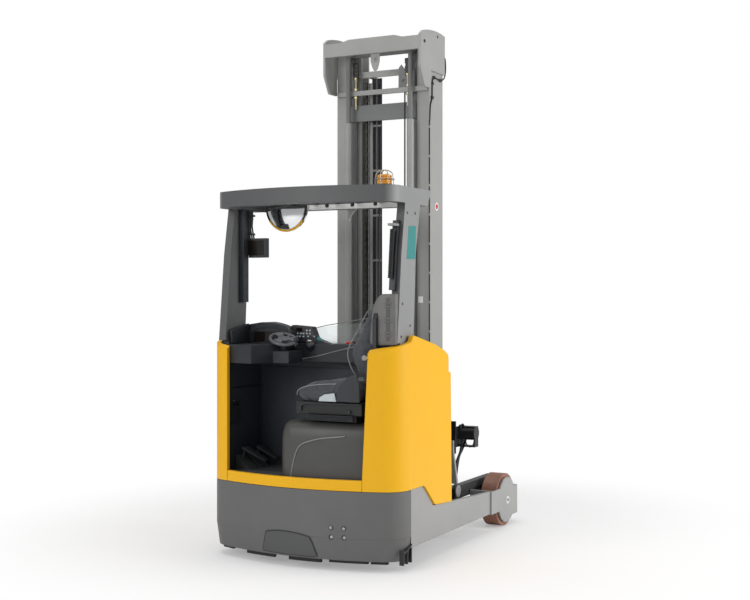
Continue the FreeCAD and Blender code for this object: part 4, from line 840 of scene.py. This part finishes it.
# %% Hood, keypad and knobs
arch = on_x(240, (544, 1276), (540, 1330), (520, 1364), (470, 1388), (383, 1402), (290, 1388),
            (252, 1368), (246, 1330))
outer = smooth_path(arch, 3)
inner = [Vector((p.x, p.y + (395 - p.y) * 0.16, 1276 + (p.z - 1276) * 0.80)) for p in outer]
for a, b, c, d in zip(outer, outer[1:], inner, inner[1:]):
    skin([[at(*a), at(*b), at(*d), at(*c)],
          [at(*(q + Vector((8, 0, 0)))) for q in (a, b, d, c)]])
piece("instrument_hood_rim", black_abs)
plate(on_x(238, (300, 1284), (500, 1284), (492, 1346), (308, 1350)), (6, 0, 0))
plate(on_x(342, (208, 1347), (250, 1347), (250, 1370), (208, 1371)), (4, 0, 0))
piece("displays", display_glass, 1)
for z, row in ((1354, (173, 151)), (1335, (239, 216, 197, 173, 151)),
               (1317, (241, 223, 197, 164, 138, 122))):
    for y in row:
        block((341, y - 6, z - 5), (347, y + 6, z + 5))
piece("keypad_keys", key_grey, 1)
turned((300, 122, 1262), (-0.5, 0, 1), [(-30, 20), (-4, 30), (8, 33), (18, 28), (24, 16), (26, 0)])
plate(on_x(330, (150, 1274), (20, 1262), (12, 1276), (138, 1322), (152, 1318)), (50, 0, 0))
turned((20, 60, 1270), UP, [(0, 9), (26, 7), (30, 12), (44, 14), (52, 10), (55, 0)], 16)
piece("travel_knob_and_armrest", black_abs, 2)
plate([(286, 108, 1292), (278, 128, 1296), (282, 138, 1288)], (3, 0, 3))
piece("travel_knob_mark", label_white)
plate(on_x(328, (62, 1292), (92, 1300), (90, 1318), (66, 1312)), (4, 0, 0))
piece("armrest_tab_teal", label_teal, 1)
turned((404, -90, 1268), UP, [(-16, 12), (4, 12), (6, 19), (14, 20), (20, 15), (22, 0)])
piece("emergency_button", knob_red)
print("controls done")

# %% [markdown]
# ## The steering wheel's pads
# The wheel leans by 24 degrees towards the driver, and three raised pads lie on its disc. The
# shelf under it has a light edge line, and a cheek closes the hood's side.

# %% Wheel pads, dash trim and hood cheek
LEAN = math.radians(24)
TOWARDS = Vector((-math.sin(math.radians(45)), -math.cos(math.radians(45)), 0))
FIRST_PAD = 1.1
tilt = Matrix.Rotation(LEAN, 4, Vector(UP).cross(TOWARDS))
for turn in (0, 2 * math.pi / 3, 4 * math.pi / 3):
    spin = Matrix.Rotation(turn - FIRST_PAD, 4, "Z")
    skin([[at(150, 226, 1305) + tilt @ (spin @ (Vector((x, y, z)) * MM))
           for x, y in ((26, -13), (63, -30), (70, 0), (63, 30), (26, 13))] for z in (4, 11)])
piece("steering_wheel_pads", wheel_abs, 2, "steering_wheel")
hose(on_x(298, (244, 1171), (196, 1179), (64, 1202), (-36, 1227), (-144, 1252), (-190, 1264)), 3)
piece("dash_trim", piping_vinyl)
plate(on_y(528, (52, 1276), (42, 1356), (60, 1366), (164, 1386), (243, 1397), (243, 1276)),
      (0, 16, 0))
piece("instrument_hood_cheek", black_abs, 5)
print("steering wheel done")

# %% [markdown]
# ## Mirror, display and cables under the roof
# The mirror is a quarter sphere in a rubber rim on a stalk, and the display hangs from the left
# pillar with its cables tied above it.

# %% Mirror rim, monitor face and cables
half_round = [(390, 350 + 146 * math.cos(t), 2130 - 152 * math.sin(t))
              for t in (math.pi * i / 10 for i in range(11))]
hose(half_round, 6)
hose(on_x(392, (204, 2131), (350, 2133), (496, 2131)), 5)
turned((402, 350, 2104), UP, [(0, 8), (30, 8), (32, 14), (38, 14)], 16)
piece("mirror_rim", tyre_rubber)
hose(half_round[2:9], 7.2)
piece("mirror_rim_band", yellow_coat)
plate(on_x(226, (414, 1820), (542, 1820), (542, 1912), (414, 1912)), (6, 0, 0))
piece("monitor_glass", display_glass, 1)
for y in (492, 506, 520, 534):
    hose([(240, y, 1918), (236, y + 4, 1950), (228, y + 8, 2000), (226, y + 3, 2050),
          (216, y - 2, 2100)], 5)
hose([(244, 500, 1860), (236, 548, 1872), (222, 552, 1880)], 8)
piece("monitor_cables_and_arm", bellows_rubber)
for z in (1945, 2060):
    block((222, 486, z), (244, 546, z + 12))
piece("cable_ties", black_abs, 1)
print("mirror and monitor done")

# %% [markdown]
# ## Roof fittings
# The roof's front member carries three clamps, a gusset braces it and a thin stay drops to
# the screen. The beacon is a ribbed amber lens on a black foot, inside a cage of bent wire.

# %% Clamps, brace, stay and beacon
for y in (69, -109, -267):
    turned((418, y, 2128), (-1, 0, -0.3), [(0, 14), (8, 14), (9, 9), (18, 9), (18, 0)], 6)
hose(on_x(432, (-282, 1436), (-284, 1700), (-286, 2106)), 5, steps=4)
piece("roof_clamps_and_stay", black_coat)
curve = smooth_path(on_x(440, (-65, 2025), (-77, 2049), (-98, 2079), (-122, 2098), (-146, 2104),
                         (-196, 2106), (-270, 2107)), 4)
plate([(440, -61, 2130)] + [tuple(p) for p in curve] + [(440, -270, 2130)], (12, 0, 0))
piece("roof_brace", leg_coat, 1.5)
beacon_x, beacon_y, cage = 350, -360, 59
for turn in range(4):
    t = math.pi / 4 * turn
    dx, dy = cage * math.cos(t), cage * math.sin(t)
    hose([(beacon_x + dx * part, beacon_y + dy * part, z)
          for part, z in ((-1, 2199), (-1, 2262), (-0.8, 2306), (0, 2322), (0.8, 2306), (1, 2262),
                          (1, 2199))], 2.6, 8)
hose([(beacon_x + cage * math.cos(t), beacon_y + cage * math.sin(t), 2266)
      for t in circle(12)], 2.6, 8, loop=True)
piece("beacon_guard", zinc_plate)
ribs = [(z + rise, radius) for z in (0, 14, 28, 42)
        for rise, radius in ((0, 42), (2, 45), (10, 45), (12, 42))]
turned((beacon_x, beacon_y, 2236), UP, ribs + [(58, 36), (61, 22), (62, 0)], 32)
piece("beacon_lens", amber_clear)
block((292, -419, 2198.5), (447, -301, 2204))
turned((beacon_x, beacon_y, 2204), UP, [(0, 52), (6, 52), (10, 49), (30, 49), (33, 46)], 32)
foot = piece("beacon_foot", black_abs, 1)
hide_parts("beacon")
print("roof fittings done")

# %% [markdown]
# ## Pillar trim
# Countersunk screws hold the pillar's cover plates, a teal label stands blank, and a ribbed
# conduit climbs the cab side of the right pillar.

# %% Screws, label, conduit and screen edge
for side in (-1, 1):
    for x, z in ((151, 2046), (258, 2049), (88, 1522), (189, 1395), (71, 1334)):
        turned((x, side * 604, z), (0, side, 0),
               [(0, 8), (3, 8), (3.6, 6.5), (2.2, 4), (2.2, 0)], 16)
piece("pillar_screws", black_coat)
plate(on_y(-606.8, (170, 1971), (267, 1976), (258, 1783), (141, 1779)), (0, 1.5, 0))
piece("pillar_label_teal", label_teal)
rings = []
for i in range(57):
    z = 1668 + i * 5
    x = 6 + (z - 1668) * 0.105
    size = 15 if i % 2 else 11
    rings.append([at(x + size * math.cos(t), -567 + size * math.sin(t), z) for t in circle(16)])
skin(rings)
piece("pillar_conduit_bellows", bellows_rubber)
block((12, -590, 1966), (78, -548, 1980))
piece("pillar_conduit_band", shell_abs, 2)
hose(on_x(430, (172, 1358), (160, 1366), (116, 1378), (13, 1396), (-250, 1434), (-500, 1436)), 2.5)
piece("screen_edge_trim", piping_vinyl)
print("pillar trim done")

# %% [markdown]
# ## Cab floor, pedals and linings
# The mat is ribbed for grip, the pedals have rubber treads, and the left lining holds a pocket
# with a sloping lip.

# %% Mat ribs, pedal treads and the pocket
for station in range(-20, 90, 12):
    block((station, 150, 504), (station + 5, 520, 508))
piece("floor_mat_ribs", mat_rubber, 1)
for corners in (((112, 500, 640), (184, 500, 638), (256, 402, 553), (220, 402, 552)),
                ((277, 500, 629), (346, 500, 627), (385, 402, 556), (348, 402, 553))):
    far_left, far_right, near_right, near_left = (Vector(corner) for corner in corners)
    plate([tuple(corner) for corner in (far_left, far_right, near_right, near_left)],
          (0, 0, -10))
    for i in range(11):
        t = (i + 0.5) / 11
        left, right = far_left.lerp(near_left, t), far_right.lerp(near_right, t)
        width = (near_left - far_left) / 26
        plate([tuple(left), tuple(right), tuple(right + width), tuple(left + width)], (0, 0, 6))
    middle = (far_left + far_right) / 2
    hose([tuple(middle + Vector((0, -8, -4))), tuple(middle + Vector((4, 12, -40))),
          (middle.x + 4, 528, 520)], 9)
piece("pedal_treads", pedal_rubber, 1)
plate([(-9, 470, 940), (150, 536, 906), (150, 536, 900), (-9, 470, 932)], (0, 14, 0))
block((0, 534, 780), (150, 548, 900))
piece("lining_pocket", black_abs, 2)
block((412, -500, 1118), (415, 500, 1124))
block((0, 545, 1000), (400, 549, 1005))
block((398, 545, 520), (402, 549, 1150))
piece("lining_seams", black_abs)
print("cab floor done")

# %% [markdown]
# ## Guard behind the seat
# A pad stands on the right pillar's rear edge, where the operator's shoulder leans. Three pairs of
# ribs break up its rear face, and a darker strip on it is painted shade for a shallow groove.

# %% Ribbed guard
outline = [(-516, 1578), (-602, 1579), (-602, 1296), (-594, 1287), (-452, 1281), (-440, 1290),
           (-438, 1318), (-450, 1458), (-458, 1506), (-474, 1539), (-496, 1566)]
skin([[at(station, y + (-522 - y) * pull, z + (1430 - z) * pull) for y, z in outline]
      for station, pull in ((46, 0.0), (10, 0.0), (4, 0.03), (2, 0.10), (0, 0.24))])
block((-3, -604, 1292), (30, -597, 1576))
for z in (1524, 1436, 1357):
    for step in (0, 20):
        block((-4, -582, z - step), (4, -534, z - step + 7))
piece("guard_pad", guard_abs, 2)
# The darker strip stands for a groove: painted shade on a block, not a cut.
block((-1, -572, 1312), (3, -544, 1556))
piece("guard_pad_groove_painted_shade", flap_coat, 3)
print("guard pad done")

# %% [markdown]
# ## Wheels and running gear
# The wheels carry rings of bolts, the drive tyre has a shallow tread, and each leg shows the
# pale end of its axle. A bumper disc on the rail stops the carriage.

# %% Wheel bolts, tread, axle ends and stop discs
def hexagons(x, side, z, circle_mm, count, profile):
    """A ring of hexagon heads on a wheel, facing outwards on the given side."""
    for t in circle(count):
        turned((x + circle_mm * math.cos(t), side, z + circle_mm * math.sin(t)),
               (0, math.copysign(1, side), 0), profile, 6)


LUG_HALF, LUG_DEEP, LUG_GAP, LUG_WIDE = 0.006, 0.006, 0.0004, 0.038
drive_low, drive_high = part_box("drive_tyre")
drive_middle = (drive_low + drive_high) / 2
drive_radius = (drive_high.z - drive_low.z) / 2
for t in circle(36):
    out = Vector((math.cos(t), 0, math.sin(t)))
    tangent = Vector((-math.sin(t), 0, math.cos(t))) * LUG_HALF
    for side in (-0.060, 0.022):
        corners = [drive_middle + out * reach + tangent * sign + Vector((0, side + slide, 0))
                   for reach in (drive_radius - LUG_DEEP, drive_radius - LUG_GAP)
                   for sign, slide in ((-1, 0), (1, 0), (1, LUG_WIDE), (-1, LUG_WIDE))]
        skin([corners[:4], corners[4:]])
piece("drive_tyre_tread", tyre_rubber, 0.5, "drive_wheel")
for side, end in ((-1, "right"), (1, "left")):
    hexagons(1655, side * 619, 177.5, 62, 6, [(0, 9), (6, 9), (8, 7), (8, 0)])
    piece(f"load_wheel_{end}_bolts", zinc_plate, 0, f"load_wheel_{end}")
    turned((1673, side * 643, 172), (0, side, 0),
           [(0, 25), (2.5, 25), (3.5, 23), (3.5, 15), (2, 13), (2, 0)])
    piece(f"leg_axle_end_{end}", label_white)
    turned((1142, side * 499, 296), (0, side, 0),
           [(-2, 40), (4, 40), (5, 38), (5, 20), (3, 18), (3, 0)])
    piece(f"rail_stop_face_{end}", mast_coat)
for side in (-1, 1):
    hexagons(165, side * 62, 171.5, 44, 8, [(0, 8), (7, 8), (9, 6), (9, 0)])
piece("drive_wheel_bolts", zinc_plate, 0, "drive_wheel")
print("running gear done")

# %% [markdown]
# ## Carriage hoses and battery caps
# Three hoses leave the guide on the mast's right side and bend back into the carriage's wing.
# Caps cover the screws of the battery's lid.

# %% Hose guide, carriage hoses and battery caps
for z in (729, 627, 590):
    turned((1135, -534, z), (0, -1, 0), [(0, 11), (6, 11), (8, 8), (8, 0)], 6)
turned((1110, -534, 700), (0, -1, 0), [(0, 14), (4, 14), (5, 12), (5, 0)], 20)
piece("hose_guide_bolts", zinc_plate, 0, "reach_carriage")
hose([(1120, -540, 735), (1150, -546, 700), (1158, -548, 650), (1140, -544, 606),
      (1120, -536, 570), (1096, -526, 530), (1086, -518, 470), (1080, -512, 410),
      (1056, -505, 380), (1019, -500, 388)], 9)
hose([(1096, -534, 735), (1112, -540, 640), (1100, -534, 560), (1076, -520, 500),
      (1068, -512, 430), (1048, -504, 404), (1019, -496, 410)], 8)
hose([(1112, -560, 640), (1120, -575, 600), (1140, -590, 590), (1160, -600, 604),
      (1164, -606, 640)], 4)
piece("carriage_hoses", bellows_rubber, 0, "reach_carriage")
for side in (-1, 1):
    block((560, side * 613 - 6, 900), (640, side * 613 + 1 if side > 0 else -606, 1000))
for y in (-420, -140, 140, 420):
    for station in (520, 610):
        turned((station, y, 1160), UP, [(-2, 24), (4, 24), (8, 20), (8, 9), (12, 8), (12, 0)])
piece("battery_cover_caps", black_abs, 1)
print("carriage trim done")

# %% [markdown]
# ## The roof's front strip and the mirror's bowl
# A pale strip faces the roof's front bar. The mirror's bowl is rings that shrink as they go
# back, which makes a shallow quarter of a sphere.

# %% Roof strip and mirror bowl
block((412, -446, 2103), (417, 446, 2134))
piece("roof_front_strip", strip_coat, 1)
rings = []
for part in (1.0, 0.86, 0.68, 0.46, 0.22, 0.04):
    rings.append([at(388 - 34 * (1 - part * part), 350 + 140 * part * math.cos(t),
                     2128 - 146 * part * math.sin(t))
                  for t in (math.pi * k / 20 for k in range(21))])
skin(rings)
piece("mirror_bowl", mirror_silver)
print("roof trim done")

# %% [markdown]
# ## Studio
# A white floor and soft boxes: a broad key from the truck's right, one from above and a weaker
# fill from behind, with a little light from all round. The floor keeps the shadow near the
# truck and glows white further out. The world is full white only to the camera and through
# clear plastic, so it doesn't light the truck.

# %% Floor, world and lights
FLOOR_HALF = 30
FLOOR_WHITE = 0.95
GLOW_NEAR, GLOW_FAR, GLOW_LEAST = 1.4, 3.0, 0.3
WORLD_STRENGTH = 0.44

scene.view_settings.view_transform = "Standard"
floor = bpy.data.objects.new("studio_floor", bpy.data.meshes.new("studio_floor"))
floor.data.from_pydata([(x * FLOOR_HALF, y * FLOOR_HALF, 0)
                        for x, y in ((-1, -1), (1, -1), (1, 1), (-1, 1))], [], [(0, 1, 2, 3)])
scene.collection.objects.link(floor)
floor_paint, tree, shader, place = blank("white_studio_floor")
wire(tree, shader, Base_Color=(FLOOR_WHITE, FLOOR_WHITE, FLOOR_WHITE, 1), Roughness=0.7)
path = add(tree, "LightPath")
glow = add(tree, "Emission", Color=(1, 1, 1, 1), Strength=1.0)
far = add(tree, "VectorMath", {"operation": "LENGTH"}, n0=place)
white = add(tree, "MapRange", {"interpolation_type": "SMOOTHSTEP"},
            Value=far.outputs["Value"], From_Min=GLOW_NEAR, From_Max=GLOW_FAR,
            To_Min=GLOW_LEAST, To_Max=1.0)
share = add(tree, "Math", {"operation": "MULTIPLY"}, n0=path.outputs["Is Camera Ray"],
            n1=white.outputs["Result"])
both = add(tree, "MixShader", n0=share.outputs[0], n1=shader.outputs[0],
           n2=glow.outputs[0])
wire(tree, tree.nodes["Material Output"], Surface=both.outputs[0])
floor.data.materials.append(floor_paint)

world = bpy.data.worlds.new("studio_world")
scene.world = world
world.use_nodes = True
tree = world.node_tree
soft = tree.nodes["Background"]
wire(tree, soft, Color=(1, 1, 1, 1), Strength=WORLD_STRENGTH)
bright = add(tree, "Background", Color=(1, 1, 1, 1), Strength=1.0)
path = add(tree, "LightPath")
seen = add(tree, "Math", {"operation": "MAXIMUM"}, n0=path.outputs["Is Camera Ray"],
           n1=path.outputs["Is Transmission Ray"])
mix = add(tree, "MixShader", n0=seen.outputs[0], n1=soft.outputs[0],
          n2=bright.outputs[0])
wire(tree, tree.nodes["World Output"], Surface=mix.outputs[0])


def soft_box(name, place, aim, size, watts):
    """An area lamp at a place, turned towards a point."""
    lamp = bpy.data.lights.new(name, "AREA")
    lamp.shape, lamp.size, lamp.size_y, lamp.energy = "RECTANGLE", *size, watts
    holder = bpy.data.objects.new(name, lamp)
    holder.location = place
    holder.rotation_euler = (Vector(aim) - Vector(place)).to_track_quat("-Z", "Y").to_euler()
    scene.collection.objects.link(holder)


soft_box("key_right", (1.6, -7.0, 2.8), (-0.3, 0, 1.0), (5, 4), 305)
soft_box("top_fill", (-1.0, 0.5, 7.5), (-0.3, 0, 0.5), (5, 5), 200)
soft_box("rear_fill", (-8.0, 2.0, 3.8), (-0.6, 0, 1.6), (4, 3), 180)

# %% [markdown]
# ## Camera
# A long lens stands behind the truck's right corner, level, at about the height of the
# seat's top. A level camera keeps the mast's uprights parallel, and a small shift of the lens
# moves the view up or down without tilting it.

# %% Camera
EYE = (-6183, -3625, 1557)
HEADING = math.atan2(0.454, 0.891)
SENSOR_MM = 36.0
LENS_MM = 58.5
SHIFT_Y = -0.0030666667

camera = bpy.data.objects.new("camera", bpy.data.cameras.new("camera"))
camera.location = at(*EYE)
camera.rotation_euler = (math.radians(90), 0, HEADING - math.radians(90))
camera.data.sensor_width = SENSOR_MM
camera.data.lens = LENS_MM
camera.data.shift_y = SHIFT_Y
camera.data.clip_end = 100
scene.collection.objects.link(camera)
scene.camera = camera
print("camera at", tuple(round(c, 3) for c in camera.location))
